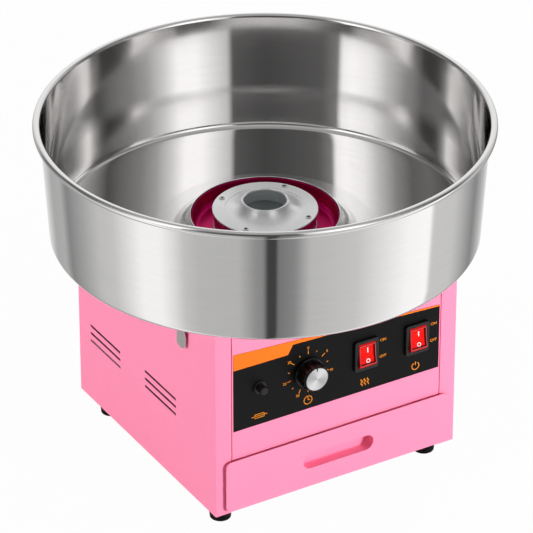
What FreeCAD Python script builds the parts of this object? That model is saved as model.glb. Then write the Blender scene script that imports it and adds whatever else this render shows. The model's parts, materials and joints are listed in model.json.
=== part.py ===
import FreeCAD, Part
import math
import os

# Candy floss machine: a spun-sugar head turning in a wide steel bowl on a sheet-steel cabinet.
# Millimetres, +Z up. The origin is on the floor, on the axis of the bowl and the spinner head.
# The control panel faces -Y, and +X is to the right of someone who stands at the controls.

Vector = FreeCAD.Vector
ORIGIN = Vector(0, 0, 0)
X_AXIS = Vector(1, 0, 0)
Y_AXIS = Vector(0, 1, 0)
Z_AXIS = Vector(0, 0, 1)

# Cabinet
CABINET_WIDTH = 316.0
CABINET_DEPTH = 316.0
CABINET_HEIGHT = 248.0
SHEET = 1.0
BEND_SHARE = 0.95
POST_WIDTH = 20.5
POST_RETURN = 12.0
FLANGE_WIDTH = 12.0
PANEL_SEAM = 1.2
BAY_HEIGHT = 68.0
SHAFT_HOLE_RADIUS = 20.0

# Ventilation slots
SIDE_SLOT_LENGTH = 71.0
SIDE_SLOT_WIDTH = 3.2
SIDE_SLOT_PITCH = 10.0
SIDE_SLOT_ROWS = 3
SIDE_SLOT_FRONT_CENTRE = -34.0
SIDE_SLOT_FRONT_TOP = 108.0
SIDE_SLOT_REAR_CENTRE = 95.0
SIDE_SLOT_REAR_TOP = 101.0
REAR_SLOT_LENGTH = 60.0
REAR_SLOT_ROWS = 5
REAR_SLOT_CENTRE_X = 80.0
REAR_SLOT_TOP = 150.0

# Feet
FOOT_HEIGHT = 12.0
FOOT_TOP_RADIUS = 13.0
FOOT_BOTTOM_RADIUS = 12.0
FOOT_EDGE_ROUND = 1.2
FOOT_LEFT_INSET = 15.0
FOOT_RIGHT_INSET = 30.0
FOOT_FRONT_INSET = 16.0
FOOT_REAR_INSET = 46.0
FOOT_SCREW_RADIUS = 2.0
FOOT_SCREW_HEAD_RADIUS = 4.0
FOOT_SCREW_HEAD_HEIGHT = 2.5
FOOT_RECESS_DEPTH = 6.0
FOOT_SCREW_REACH = 2.5

# Drawer
DRAWER_FRONT_SHEET = 1.2
DRAWER_FRONT_WIDTH = 293.0
DRAWER_FRONT_BOTTOM = 4.0
DRAWER_FRONT_LAP = 1.8
DRAWER_FRONT_STANDOFF = 3.3
DRAWER_FRONT_CORNER = 8.0
DRAWER_SIDE_GAP = 3.6
DRAWER_REAR_GAP = 7.0
DRAWER_HEAD_GAP = 2.5
DRAWER_SLIDE_GAP = 0.1
RAIL_SHEET = 1.2
RAIL_LIFT = 4.2
RAIL_LEDGE = 14.0
RAIL_GUIDE_HEIGHT = 18.0
RAIL_SOLE = 12.0
RAIL_GAP = 0.3
SLOT_WIDTH = 92.5
SLOT_HEIGHT = 19.0
SLOT_CENTRE_UP = 33.5
CUP_DEPTH = 12.0
CUP_HOLE_GAP = 0.3

# Control label and the row of controls on it
LABEL_SHEET = 0.5
LABEL_SIDE_MARGIN = 1.5
LABEL_BOTTOM_MARGIN = 38.0
LABEL_LEFT_HEIGHT = 100.0
LABEL_RIGHT_HEIGHT = 82.5
CONTROL_UP = 49.0
FUSE_FROM_LEFT = 33.3
TIMER_FROM_LEFT = 96.3
HEAT_FROM_RIGHT = 98.6
POWER_FROM_RIGHT = 31.1
HOLE_GAP = 0.3

# Fuse holder
FUSE_FLANGE_RADIUS = 7.8
FUSE_FLANGE_HEIGHT = 2.0
FUSE_BARREL_RADIUS = 6.0
FUSE_BARREL_LENGTH = 38.0
FUSE_BORE_RADIUS = 3.6
FUSE_NUT_FLATS = 19.0
FUSE_NUT_HEIGHT = 3.0
FUSE_CAP_RADIUS = 5.0
FUSE_CAP_LENGTH = 9.0
FUSE_CAP_SLOT = 1.4
FUSE_CAP_STEM_LENGTH = 8.0
FUSE_RADIUS = 2.6
FUSE_LENGTH = 20.0
RUNNING_GAP = 0.3
PIN_CLEARANCE = 0.08

# Timer
TIMER_BODY_SIZE = 46.0
TIMER_BODY_DEPTH = 32.0
TIMER_BUSH_RADIUS = 6.0
TIMER_BUSH_REACH = 1.6
TIMER_SHAFT_RADIUS = 3.0
TIMER_SHAFT_TAIL = 20.0
TIMER_SCREW_OFFSET = 12.5
TIMER_SCREW_RADIUS = 1.5
TIMER_SCREW_HEAD_RADIUS = 2.8
TIMER_SCREW_HEAD_HEIGHT = 1.2
TIMER_SCREW_REACH = 6.0
KNOB_GAP = 1.9
KNOB_SKIRT_RADIUS = 18.5
KNOB_SKIRT_HEIGHT = 2.2
KNOB_RADIUS = 16.4
KNOB_HEIGHT = 14.0
KNOB_FLUTES = 12
KNOB_FLUTE_RADIUS = 3.4
KNOB_FLUTE_DEPTH = 1.5
KNOB_CROWN_RADIUS = 15.0
KNOB_CROWN_HEIGHT = 1.6
KNOB_SOCKET_DEPTH = 11.0
KNOB_DISC_RADIUS = 14.0
KNOB_DISC_SHEET = 0.8
KNOB_NOTCH_WIDTH = 1.8
KNOB_NOTCH_LENGTH = 4.2

# Rocker switches
BEZEL_WIDTH = 31.0
BEZEL_HEIGHT = 39.0
BEZEL_DEPTH = 4.0
BEZEL_CORNER = 3.0
BEZEL_EDGE_ROUND = 0.8
SWITCH_BODY_WIDTH = 26.0
SWITCH_BODY_HEIGHT = 37.0
SWITCH_BODY_DEPTH = 26.0
SWITCH_TAB_COUNT = 2
SWITCH_TAB_WIDTH = 6.3
SWITCH_TAB_SHEET = 0.8
SWITCH_TAB_LENGTH = 9.0
ROCKER_WIDTH = 21.5
ROCKER_RADIUS = 17.4
ROCKER_PIVOT_DEPTH = 3.0
ROCKER_RISE = 12.0
ROCKER_HOLLOW = 1.6
ROCKER_BACK = 7.0
ROCKER_TILT = 7.0
ROCKER_GAP = 0.3
ROCKER_PIVOT_RADIUS = 1.5

# Bowl
BOWL_RIM_DIAMETER = 520.0
BOWL_SHEET = 0.8
BOWL_BEAD_RADIUS = 4.4
BOWL_WALL_SLANT = 7.5
BOWL_CORNER_RADIUS = 6.5
BOWL_HEIGHT = 144.0
BOWL_OPENING_RADIUS = 84.3
BOWL_COLLAR_HEIGHT = 20.2
BOWL_COLLAR_SPREAD = 22.7
BOWL_LIP_RADIUS = 0.6

# Bowl clips, one at the front of the left side and one at the rear of the right side
CLIP_Y = -90.0
CLIP_HALF_WIDTH = 9.4
CLIP_SHEET = 1.2
CLIP_PIVOT_OUT = 6.5
CLIP_PIVOT_DROP = 10.0
CLIP_PIN_RADIUS = 1.5
CLIP_CURL_RADIUS = 3.2
CLIP_LEAN = 6.2
CLIP_FOLD_DROP = 44.3
CLIP_TIP_DROP = 58.0
CLIP_TIP_OUT = 1.5
CLIP_TIP_ROUND = 7.0
CLIP_EAR_GAP = 0.4
CLIP_EAR_SHEET = 1.2
CLIP_EAR_HALF_DEPTH = 4.5
CLIP_EAR_DROP = 14.0
CLIP_BRACKET_START = 1.0
CLIP_BRACKET_LENGTH = 16.0
CLIP_PAD_HALF_WIDTH = 5.5
CLIP_PAD_TOP_DROP = 38.0
CLIP_PAD_HEIGHT = 14.0
CLIP_PAD_GAP = 0.3

# Burner dish
DISH_SHEET = 1.0
DISH_BOWL_GAP = 0.6
DISH_HEIGHT = 19.4
DISH_CORNER_RADIUS = 8.0
DISH_HUB_HOLE_RADIUS = 16.0
DISH_SCREW_CIRCLE = 48.0
DISH_SCREW_COUNT = 3
DISH_SCREW_ANGLE = 22.0
DISH_SCREW_RADIUS = 2.0
DISH_SCREW_HEAD_RADIUS = 4.0
DISH_SCREW_HEAD_HEIGHT = 2.0
DISH_SCREW_REACH = 4.0

# Spinner head
HEAD_DISH_GAP = 4.0
HEAD_BASE_RADIUS = 59.0
HEAD_BASE_THICKNESS = 2.0
HEAD_HUB_RADIUS = 10.0
HEAD_HUB_HEIGHT = 13.0
HEAD_CUP_FOOT_RADIUS = 29.0
HEAD_CUP_TOP_RADIUS = 33.0
HEAD_CUP_HEIGHT = 13.0
HEAD_CUP_SHEET = 1.2
HEAD_BAND_RADIUS = 58.0
HEAD_BAND_SHEET = 1.0
HEAD_BAND_HEIGHT = 19.0
HEAD_BAND_SLOTS = 36
HEAD_BAND_SLOT_WIDTH = 1.2
HEAD_BAND_SLOT_HEIGHT = 12.0
HEAD_FLANGE_RADIUS = 60.0
HEAD_FLANGE_THICKNESS = 1.6
HEAD_GROOVE_RADIUS = 46.2
HEAD_GROOVE_WIDTH = 1.2
HEAD_GROOVE_DEPTH = 0.7
HEAD_CONE_TOP_RADIUS = 27.2
HEAD_CONE_RISE = 10.0
HEAD_LIP_RADIUS = 1.6
HEAD_THROAT_RADIUS = 25.4
HEAD_THROAT_SHEET = 1.0
HEAD_THROAT_DROP = 2.5
HEAD_SCREW_CIRCLE = 53.5
HEAD_SCREW_ANGLE = 35.5
HEAD_SCREW_COUNT = 4
HEAD_SCREW_RADIUS = 2.0
HEAD_SCREW_HEAD_RADIUS = 3.4
HEAD_SCREW_HEAD_HEIGHT = 1.4
HEAD_SCREW_LENGTH = 14.0
HEAD_SPACER_RADIUS = 3.3
HEATER_RADIUS = 45.0
HEATER_SHEET = 1.2
HEATER_HEIGHT = 11.0
HEATER_POST_RADIUS = 3.0
HEATER_POST_HEIGHT = 4.0

# Drive
SHAFT_RADIUS = 4.0
SHAFT_TAIL = 14.0
MOUNT_ROD_LENGTH = 60.0
MOUNT_ROD_RADIUS = 4.0
MOUNT_ROD_OFFSET = 50.0
MOUNT_STUD_RADIUS = 2.5
MOUNT_RIVET_RADIUS = 4.0
MOUNT_RIVET_HEIGHT = 2.0
MOTOR_PLATE_SIZE = 120.0
MOTOR_PLATE_THICKNESS = 2.0
MOTOR_PLATE_HOLE_RADIUS = 14.0
MOTOR_RADIUS = 42.0
MOTOR_LENGTH = 70.0
MOTOR_WALL = 4.0
MOTOR_END_THICKNESS = 8.0
BEARING_RADIUS = 11.0
BEARING_WIDTH = 7.0
STATOR_INNER_RADIUS = 26.5
ROTOR_GAP = 0.5
ROTOR_LENGTH = 40.0
FAN_RADIUS = 36.0
FAN_HUB_RADIUS = 8.0
FAN_DISC_THICKNESS = 1.5
FAN_BLADE_HEIGHT = 7.0
FAN_BLADE_SHEET = 1.2
FAN_BLADES = 8
FAN_GAP = 2.0
SLEEVE_RADIUS = 11.0
SLEEVE_HEIGHT = 34.0
SLEEVE_LIFT = 6.0
SLIP_RING_RADIUS = 13.5
SLIP_RING_HEIGHT = 8.0
SLIP_RING_PITCH = 18.0
BRUSH_SIZE = 5.8
BRUSH_LENGTH = 13.4
BRUSH_GAP = 0.1
SPRING_RADIUS = 2.0
SPRING_WIRE_RADIUS = 0.35
SPRING_TURNS = 4
HOLDER_START = 17.0
HOLDER_LENGTH = 20.0
HOLDER_HALF_WIDTH = 7.0
HOLDER_END_WALL = 2.0
HOLDER_TOP_MARGIN = 6.0
FIT = 0.02

# Rear of the cabinet and the terminal strip inside it
INLET_X = -80.0
INLET_UP = 118.0
INLET_FLANGE_WIDTH = 48.0
INLET_FLANGE_HEIGHT = 26.0
INLET_FLANGE_DEPTH = 2.5
INLET_BODY_WIDTH = 27.0
INLET_BODY_HEIGHT = 20.0
INLET_BODY_DEPTH = 20.0
INLET_CAVITY_WIDTH = 24.0
INLET_CAVITY_HEIGHT = 16.6
INLET_CAVITY_DEPTH = 16.0
INLET_PIN_PITCH = 7.0
INLET_PIN_RISE = 2.0
INLET_PIN_WIDTH = 2.0
INLET_PIN_HEIGHT = 4.0
INLET_PIN_LENGTH = 13.0
REAR_SCREW_RADIUS = 1.5
REAR_SCREW_HEAD_RADIUS = 3.2
REAR_SCREW_HEAD_HEIGHT = 1.6
REAR_SCREW_REACH = 5.0
REAR_SCREW_INSET = 7.0
REAR_SCREW_END_MARGIN = 20.0
TERMINAL_WIDTH = 56.0
TERMINAL_DEPTH = 18.0
TERMINAL_HEIGHT = 14.0
TERMINAL_X = -80.0
TERMINAL_INSET = 62.0

# Levels and planes that follow from the sizes above
half_width = CABINET_WIDTH / 2
half_depth = CABINET_DEPTH / 2
front_face = -half_depth
cabinet_floor = FOOT_HEIGHT
cabinet_top = cabinet_floor + CABINET_HEIGHT
bay_top = cabinet_floor + BAY_HEIGHT
label_face = front_face - LABEL_SHEET
label_bottom = bay_top + LABEL_BOTTOM_MARGIN
control_level = label_bottom + CONTROL_UP
opening_half_width = half_width - POST_WIDTH
panel_half_width = opening_half_width - PANEL_SEAM
label_half_width = panel_half_width - LABEL_SIDE_MARGIN
fuse_x = -label_half_width + FUSE_FROM_LEFT
timer_x = -label_half_width + TIMER_FROM_LEFT
heat_x = label_half_width - HEAT_FROM_RIGHT
power_x = label_half_width - POWER_FROM_RIGHT
drawer_front_back = front_face - DRAWER_FRONT_STANDOFF
drawer_front_bottom = cabinet_floor + DRAWER_FRONT_BOTTOM
drawer_front_top = bay_top + DRAWER_FRONT_LAP
tray_half_width = opening_half_width - DRAWER_SIDE_GAP
rail_top = cabinet_floor + SHEET + RAIL_LIFT
tray_bottom = rail_top + DRAWER_SLIDE_GAP
tray_top = bay_top + SHEET - DRAWER_HEAD_GAP
tray_back = half_depth - 2 * SHEET - DRAWER_REAR_GAP
slot_level = drawer_front_bottom + SLOT_CENTRE_UP
rocker_pivot_y = front_face + SHEET + ROCKER_PIVOT_DEPTH
bowl_wall_top_radius = BOWL_RIM_DIAMETER / 2 - 2 * BOWL_BEAD_RADIUS + BOWL_SHEET
bowl_wall_foot_radius = bowl_wall_top_radius - BOWL_WALL_SLANT
dish_radius = BOWL_OPENING_RADIUS - DISH_BOWL_GAP
dish_floor = cabinet_top + DISH_SHEET
head_bottom = dish_floor + HEAD_DISH_GAP
band_bottom = head_bottom + HEAD_BASE_THICKNESS
band_top = band_bottom + HEAD_BAND_HEIGHT
flange_top = band_top + HEAD_FLANGE_THICKNESS
motor_plate_top = cabinet_top - SHEET - MOUNT_ROD_LENGTH
motor_top = motor_plate_top - MOTOR_PLATE_THICKNESS
motor_bottom = motor_top - MOTOR_LENGTH
sleeve_bottom = motor_plate_top + SLEEVE_LIFT
sleeve_middle = sleeve_bottom + SLEEVE_HEIGHT / 2
inlet_level = cabinet_floor + INLET_UP
terminal_y = half_depth - TERMINAL_INSET
clip_pivot_x = -half_width - CLIP_PIVOT_OUT
clip_pivot_level = cabinet_top - CLIP_PIVOT_DROP
clip_outer_x = clip_pivot_x - CLIP_CURL_RADIUS
clip_inner_x = clip_outer_x + CLIP_SHEET
clip_fold_level = cabinet_top - CLIP_FOLD_DROP
clip_tip_level = cabinet_top - CLIP_TIP_DROP
clip_fold_x = clip_inner_x + CLIP_LEAN


def block(x_min, x_max, y_min, y_max, z_min, z_max):
    """Rectangular block between two corners."""
    return Part.makeBox(x_max - x_min, y_max - y_min, z_max - z_min, Vector(x_min, y_min, z_min))


def upright(radius, x, y, z_min, z_max):
    """Round bar along Z."""
    return Part.makeCylinder(radius, z_max - z_min, Vector(x, y, z_min), Z_AXIS)


def bar_y(radius, x, z, y_min, y_max):
    """Round bar along Y."""
    return Part.makeCylinder(radius, y_max - y_min, Vector(x, y_min, z), Y_AXIS)


def bar_x(radius, y, z, x_min, x_max):
    """Round bar along X."""
    return Part.makeCylinder(radius, x_max - x_min, Vector(x_min, y, z), X_AXIS)


def tube_z(outer_radius, inner_radius, z_min, z_max):
    """Ring about the machine's axis."""
    return upright(outer_radius, 0, 0, z_min, z_max).cut(upright(inner_radius, 0, 0, z_min, z_max))


def joined(shapes):
    """One solid from overlapping or touching shapes."""
    first = shapes[0]
    return first.fuse(shapes[1:]).removeSplitter()


def edges_along(shape, axis):
    """Straight edges of a shape that run along an axis."""
    found = []
    for edge in shape.Edges:
        if isinstance(edge.Curve, (Part.Line, Part.LineSegment)):
            if abs(abs(edge.tangentAt(edge.FirstParameter).dot(axis)) - 1) < 1e-6:
                found.append(edge)
    return found


def rounded_block(x_min, x_max, y_min, y_max, z_min, z_max, radius, axis):
    """Block whose four edges along an axis are rounded."""
    shape = block(x_min, x_max, y_min, y_max, z_min, z_max)
    return shape.makeFillet(radius, edges_along(shape, axis))


def stadium(x, z, width, height, y_min, y_max):
    """Long hole or plug with round ends, lying along X and extruded along Y."""
    half_run = (width - height) / 2
    middle = block(x - half_run, x + half_run, y_min, y_max, z - height / 2, z + height / 2)
    ends = [bar_y(height / 2, x + side * half_run, z, y_min, y_max) for side in (-1, 1)]
    return joined([middle] + ends)


def extruded_y(corners, y_min, y_max):
    """Prism along Y over a polygon of (x, z) corners."""
    points = [Vector(x, y_min, z) for x, z in corners + corners[:1]]
    return Part.Face(Part.makePolygon(points)).extrude(Vector(0, y_max - y_min, 0))


def hexagon_y(across_flats, x, z, y_min, y_max):
    """Hexagonal prism along Y."""
    corner_radius = across_flats / math.sqrt(3)
    corners = [on_circle((x, z), corner_radius, 60 * step) for step in range(6)]
    return extruded_y(corners, y_min, y_max)


def line(start, end):
    """Straight edge of a profile in the XZ plane, between (radius, level) pairs."""
    return Part.LineSegment(Vector(start[0], 0, start[1]), Vector(end[0], 0, end[1])).toShape()


def arc(start, middle, end):
    """Arc of a profile in the XZ plane through three (radius, level) pairs."""
    points = [Vector(point[0], 0, point[1]) for point in (start, middle, end)]
    return Part.Arc(points[0], points[1], points[2]).toShape()


def on_circle(centre, radius, degrees):
    """Point at an angle on a circle in the XZ plane, as a (radius, level) pair."""
    angle = math.radians(degrees)
    return (centre[0] + radius * math.cos(angle), centre[1] + radius * math.sin(angle))


def turned(edges):
    """Solid of revolution about the machine's axis."""
    return Part.Face(Part.Wire(edges)).revolve(ORIGIN, Z_AXIS, 360)


def around(shape, count, start_angle):
    """Copies of a shape set evenly about the machine's axis."""
    copies = []
    for step in range(count):
        turned_copy = shape.copy()
        turned_copy.rotate(ORIGIN, Z_AXIS, start_angle + step * 360 / count)
        copies.append(turned_copy)
    return copies


def mirrored(shape):
    """The same shape on the other side of the machine."""
    return shape.mirror(ORIGIN, X_AXIS)


def opposite(shape):
    """The same shape half a turn round the machine's axis."""
    turned_copy = shape.copy()
    turned_copy.rotate(ORIGIN, Z_AXIS, 180)
    return turned_copy


def side_slots():
    """Ventilation slots of a side wall: two groups of rows."""
    slots = []
    groups = ((SIDE_SLOT_FRONT_CENTRE, SIDE_SLOT_FRONT_TOP), (SIDE_SLOT_REAR_CENTRE, SIDE_SLOT_REAR_TOP))
    for centre, top in groups:
        for row in range(SIDE_SLOT_ROWS):
            level = cabinet_floor + top - row * SIDE_SLOT_PITCH
            slots.append(block(-half_width - SHEET, -half_width + 2 * SHEET,
                               centre - SIDE_SLOT_LENGTH / 2, centre + SIDE_SLOT_LENGTH / 2,
                               level - SIDE_SLOT_WIDTH / 2, level + SIDE_SLOT_WIDTH / 2))
    return slots


def rear_screw_places():
    """Places of the rear panel's screws, as (x, z) pairs."""
    low = cabinet_floor + REAR_SCREW_END_MARGIN
    high = cabinet_top - REAR_SCREW_END_MARGIN
    levels = (low, (low + high) / 2, high)
    inset = half_width - REAR_SCREW_INSET
    return [(side * inset, level) for side in (-1, 1) for level in levels]


def left_side_panel():
    """Side wall with its front post, folded back edge and top and rear flanges."""
    outer = -half_width
    post_edge = outer + POST_WIDTH
    wall = block(outer, outer + SHEET, front_face, half_depth - SHEET, cabinet_floor, cabinet_top)
    post = block(outer, post_edge, front_face, front_face + SHEET, cabinet_floor, cabinet_top)
    post_return = block(post_edge - SHEET, post_edge, front_face, front_face + POST_RETURN,
                        cabinet_floor + SHEET, cabinet_top - SHEET)
    top_flange = block(outer, outer + FLANGE_WIDTH, front_face + POST_RETURN + SHEET,
                       half_depth - FLANGE_WIDTH, cabinet_top - 2 * SHEET, cabinet_top - SHEET)
    rear_flange = block(outer, outer + FLANGE_WIDTH, half_depth - 2 * SHEET, half_depth - SHEET,
                        cabinet_floor + SHEET, cabinet_top - SHEET)
    panel = joined([wall, post, post_return, top_flange, rear_flange])
    corner_edges = []
    for edge in edges_along(panel, Z_AXIS):
        place = edge.CenterOfMass
        if abs(place.x - outer) < 1e-6 and abs(place.y - front_face) < 1e-6:
            corner_edges.append(edge)
    panel = panel.makeFillet(BEND_SHARE * SHEET, corner_edges)
    holes = [bar_y(REAR_SCREW_RADIUS, x, z, half_depth - 3 * SHEET, half_depth)
             for x, z in rear_screw_places() if x < 0]
    return panel.cut(side_slots() + holes)


def base_plate():
    """Floor of the cabinet with upturned edges against the side walls."""
    inner = half_width - SHEET
    floor = block(-inner, inner, front_face + SHEET, half_depth - SHEET,
                  cabinet_floor, cabinet_floor + SHEET)
    edges = [block(min(side * inner, side * (inner - SHEET)), max(side * inner, side * (inner - SHEET)),
                   front_face + POST_RETURN + SHEET, half_depth - 3 * SHEET,
                   cabinet_floor, cabinet_floor + FLANGE_WIDTH) for side in (-1, 1)]
    holes = [upright(FOOT_SCREW_RADIUS, x, y, cabinet_floor - SHEET, cabinet_floor + 2 * SHEET)
             for x, y in foot_places()]
    return joined([floor] + edges).cut(holes)


def top_plate():
    """Top of the cabinet, which carries the bowl, the burner dish and the motor."""
    inner = half_width - SHEET
    plate = block(-inner, inner, front_face + SHEET, half_depth - SHEET,
                  cabinet_top - SHEET, cabinet_top)
    shaft_hole = upright(SHAFT_HOLE_RADIUS, 0, 0, cabinet_top - 2 * SHEET, cabinet_top + SHEET)
    screw_holes = [upright(DISH_SCREW_RADIUS, x, y, cabinet_top - 2 * SHEET, cabinet_top + SHEET)
                   for x, y in dish_screw_places()]
    return plate.cut([shaft_hole] + screw_holes)


def rear_panel():
    """Back of the cabinet, screwed to the side walls, with slots and the power inlet's hole."""
    panel = block(-half_width, half_width, half_depth - SHEET, half_depth, cabinet_floor, cabinet_top)
    cuts = []
    for row in range(REAR_SLOT_ROWS):
        level = cabinet_floor + REAR_SLOT_TOP - row * SIDE_SLOT_PITCH
        cuts.append(block(REAR_SLOT_CENTRE_X - REAR_SLOT_LENGTH / 2,
                          REAR_SLOT_CENTRE_X + REAR_SLOT_LENGTH / 2,
                          half_depth - 2 * SHEET, half_depth + SHEET,
                          level - SIDE_SLOT_WIDTH / 2, level + SIDE_SLOT_WIDTH / 2))
    cuts.append(block(INLET_X - INLET_BODY_WIDTH / 2 - HOLE_GAP, INLET_X + INLET_BODY_WIDTH / 2 + HOLE_GAP,
                      half_depth - 2 * SHEET, half_depth + SHEET,
                      inlet_level - INLET_BODY_HEIGHT / 2 - HOLE_GAP,
                      inlet_level + INLET_BODY_HEIGHT / 2 + HOLE_GAP))
    for x, z in rear_screw_places():
        cuts.append(bar_y(REAR_SCREW_RADIUS, x, z, half_depth - 2 * SHEET, half_depth + SHEET))
    return panel.cut(cuts)


def rear_panel_screws():
    """Pan-head screws of the rear panel."""
    screws = []
    for x, z in rear_screw_places():
        head = bar_y(REAR_SCREW_HEAD_RADIUS, x, z, half_depth, half_depth + REAR_SCREW_HEAD_HEIGHT)
        shank = bar_y(REAR_SCREW_RADIUS, x, z, half_depth - REAR_SCREW_REACH, half_depth)
        screws.append(joined([head, shank]))
    return Part.makeCompound(screws)


def control_cutouts(y_min, y_max):
    """Holes that the four controls pass through, for the panel and for the label."""
    fuse = bar_y(FUSE_BARREL_RADIUS + HOLE_GAP, fuse_x, control_level, y_min, y_max)
    bush = bar_y(TIMER_BUSH_RADIUS + HOLE_GAP, timer_x, control_level, y_min, y_max)
    screws = [bar_y(TIMER_SCREW_RADIUS, x, control_level, y_min, y_max) for x in timer_screw_places()]
    switches = [block(x - SWITCH_BODY_WIDTH / 2 - HOLE_GAP, x + SWITCH_BODY_WIDTH / 2 + HOLE_GAP,
                      y_min, y_max, control_level - SWITCH_BODY_HEIGHT / 2 - HOLE_GAP,
                      control_level + SWITCH_BODY_HEIGHT / 2 + HOLE_GAP) for x in (heat_x, power_x)]
    return [fuse, bush] + screws + switches


def front_panel():
    """Panel between the posts, with returns along its four edges."""
    inner = panel_half_width - SHEET
    face = block(-panel_half_width, panel_half_width, front_face, front_face + SHEET,
                 bay_top, cabinet_top)
    returns = [block(min(side * panel_half_width, side * inner), max(side * panel_half_width, side * inner),
                     front_face, front_face + POST_RETURN, bay_top, cabinet_top - SHEET)
               for side in (-1, 1)]
    lower = block(-panel_half_width, panel_half_width, front_face, front_face + POST_RETURN,
                  bay_top, bay_top + SHEET)
    upper = block(-panel_half_width, panel_half_width, front_face + SHEET, front_face + POST_RETURN,
                  cabinet_top - 2 * SHEET, cabinet_top - SHEET)
    panel = joined([face] + returns + [lower, upper])
    return panel.cut(control_cutouts(front_face - SHEET, front_face + 2 * SHEET))


def divider_shelf():
    """Shelf between the drawer and the mechanism, on the front panel's lower return."""
    level = bay_top + SHEET
    inner = half_width - SHEET
    main = block(-inner, inner, front_face + POST_RETURN + SHEET, half_depth - 2 * SHEET,
                 level, level + SHEET)
    tongue_half_width = panel_half_width - SHEET - PANEL_SEAM
    tongue = block(-tongue_half_width, tongue_half_width, front_face + SHEET,
                   front_face + POST_RETURN + SHEET, level, level + SHEET)
    edges = [block(min(side * inner, side * (inner - SHEET)), max(side * inner, side * (inner - SHEET)),
                   front_face + POST_RETURN + SHEET, half_depth - 3 * SHEET,
                   level, level + FLANGE_WIDTH) for side in (-1, 1)]
    return joined([main, tongue] + edges)


def foot_places():
    """Centres of the feet, as (x, y) pairs."""
    left = -half_width + FOOT_LEFT_INSET
    right = half_width - FOOT_RIGHT_INSET
    front = front_face + FOOT_FRONT_INSET
    rear = half_depth - FOOT_REAR_INSET
    return [(left, front), (right, front), (left, rear), (right, rear)]


def rubber_feet():
    """Four tapered rubber feet with a rounded lower edge, each with a recess for its screw."""
    feet = []
    for x, y in foot_places():
        body = Part.makeCone(FOOT_BOTTOM_RADIUS, FOOT_TOP_RADIUS, FOOT_HEIGHT, Vector(x, y, 0), Z_AXIS)
        lower_edges = [edge for edge in body.Edges if edge.BoundBox.ZMax < 1e-6]
        body = body.makeFillet(FOOT_EDGE_ROUND, lower_edges)
        recess = upright(FOOT_SCREW_HEAD_RADIUS + HOLE_GAP, x, y, 0, FOOT_RECESS_DEPTH)
        hole = upright(FOOT_SCREW_RADIUS, x, y, 0, FOOT_HEIGHT)
        feet.append(body.cut([recess, hole]))
    return Part.makeCompound(feet)


def foot_screws():
    """Screws that hold the feet to the base plate."""
    screws = []
    for x, y in foot_places():
        head = upright(FOOT_SCREW_HEAD_RADIUS, x, y, FOOT_RECESS_DEPTH - FOOT_SCREW_HEAD_HEIGHT,
                       FOOT_RECESS_DEPTH)
        shank = upright(FOOT_SCREW_RADIUS, x, y, FOOT_RECESS_DEPTH,
                        cabinet_floor + SHEET + FOOT_SCREW_REACH)
        screws.append(joined([head, shank]))
    return Part.makeCompound(screws)


def drawer_runners():
    """Folded rails on the base plate: a guide beside the tray, a ledge under it and a sole."""
    guide = -tray_half_width - RAIL_GAP
    y_min = front_face + POST_RETURN + SHEET
    y_max = half_depth - 3 * SHEET
    base = cabinet_floor + SHEET
    ledge = block(guide - RAIL_SHEET, guide - RAIL_SHEET + RAIL_LEDGE, y_min, y_max,
                  rail_top - RAIL_SHEET, rail_top)
    web = block(guide - RAIL_SHEET, guide, y_min, y_max, base, base + RAIL_GUIDE_HEIGHT)
    sole = block(guide - RAIL_SHEET, guide - RAIL_SHEET + RAIL_SOLE, y_min, y_max,
                 base, base + RAIL_SHEET)
    rail = joined([ledge, web, sole])
    holes = [upright(FOOT_SCREW_RADIUS, x, y, base, base + RAIL_SHEET) for x, y in foot_places()]
    return Part.makeCompound([shape.cut(holes) for shape in (rail, mirrored(rail))])


def drawer_tray():
    """Open-topped sheet tray; its front wall reaches out to the drawer front."""
    outer = block(-tray_half_width, tray_half_width, drawer_front_back, tray_back, tray_bottom, tray_top)
    inner = block(-tray_half_width + SHEET, tray_half_width - SHEET, drawer_front_back + SHEET,
                  tray_back - SHEET, tray_bottom + SHEET, tray_top + SHEET)
    cup_hole = stadium(0, slot_level, SLOT_WIDTH + 2 * SHEET + 2 * CUP_HOLE_GAP,
                       SLOT_HEIGHT + 2 * SHEET + 2 * CUP_HOLE_GAP,
                       drawer_front_back - SHEET, drawer_front_back + 2 * SHEET)
    return outer.cut([inner, cup_hole])


def drawer_front():
    """Plate with round corners and a finger slot, standing clear of the cabinet's face."""
    plate = rounded_block(-DRAWER_FRONT_WIDTH / 2, DRAWER_FRONT_WIDTH / 2,
                          drawer_front_back - DRAWER_FRONT_SHEET, drawer_front_back,
                          drawer_front_bottom, drawer_front_top, DRAWER_FRONT_CORNER, Y_AXIS)
    slot = stadium(0, slot_level, SLOT_WIDTH, SLOT_HEIGHT, drawer_front_back - 2 * DRAWER_FRONT_SHEET,
                   drawer_front_back + SHEET)
    return plate.cut(slot)


def drawer_pull_cup():
    """Pressed finger cup behind the slot of the drawer front."""
    outer = stadium(0, slot_level, SLOT_WIDTH + 2 * SHEET, SLOT_HEIGHT + 2 * SHEET,
                    drawer_front_back, drawer_front_back + CUP_DEPTH + SHEET)
    inner = stadium(0, slot_level, SLOT_WIDTH, SLOT_HEIGHT, drawer_front_back - SHEET,
                    drawer_front_back + CUP_DEPTH)
    return outer.cut(inner)


def control_label():
    """Printed sheet on the front panel, lower on the right than on the left."""
    corners = [
        (-label_half_width, label_bottom), (label_half_width, label_bottom),
        (label_half_width, label_bottom + LABEL_RIGHT_HEIGHT),
        (-label_half_width, label_bottom + LABEL_LEFT_HEIGHT),
    ]
    sheet = extruded_y(corners, label_face, front_face)
    return sheet.cut(control_cutouts(label_face - SHEET, front_face + SHEET))


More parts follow.
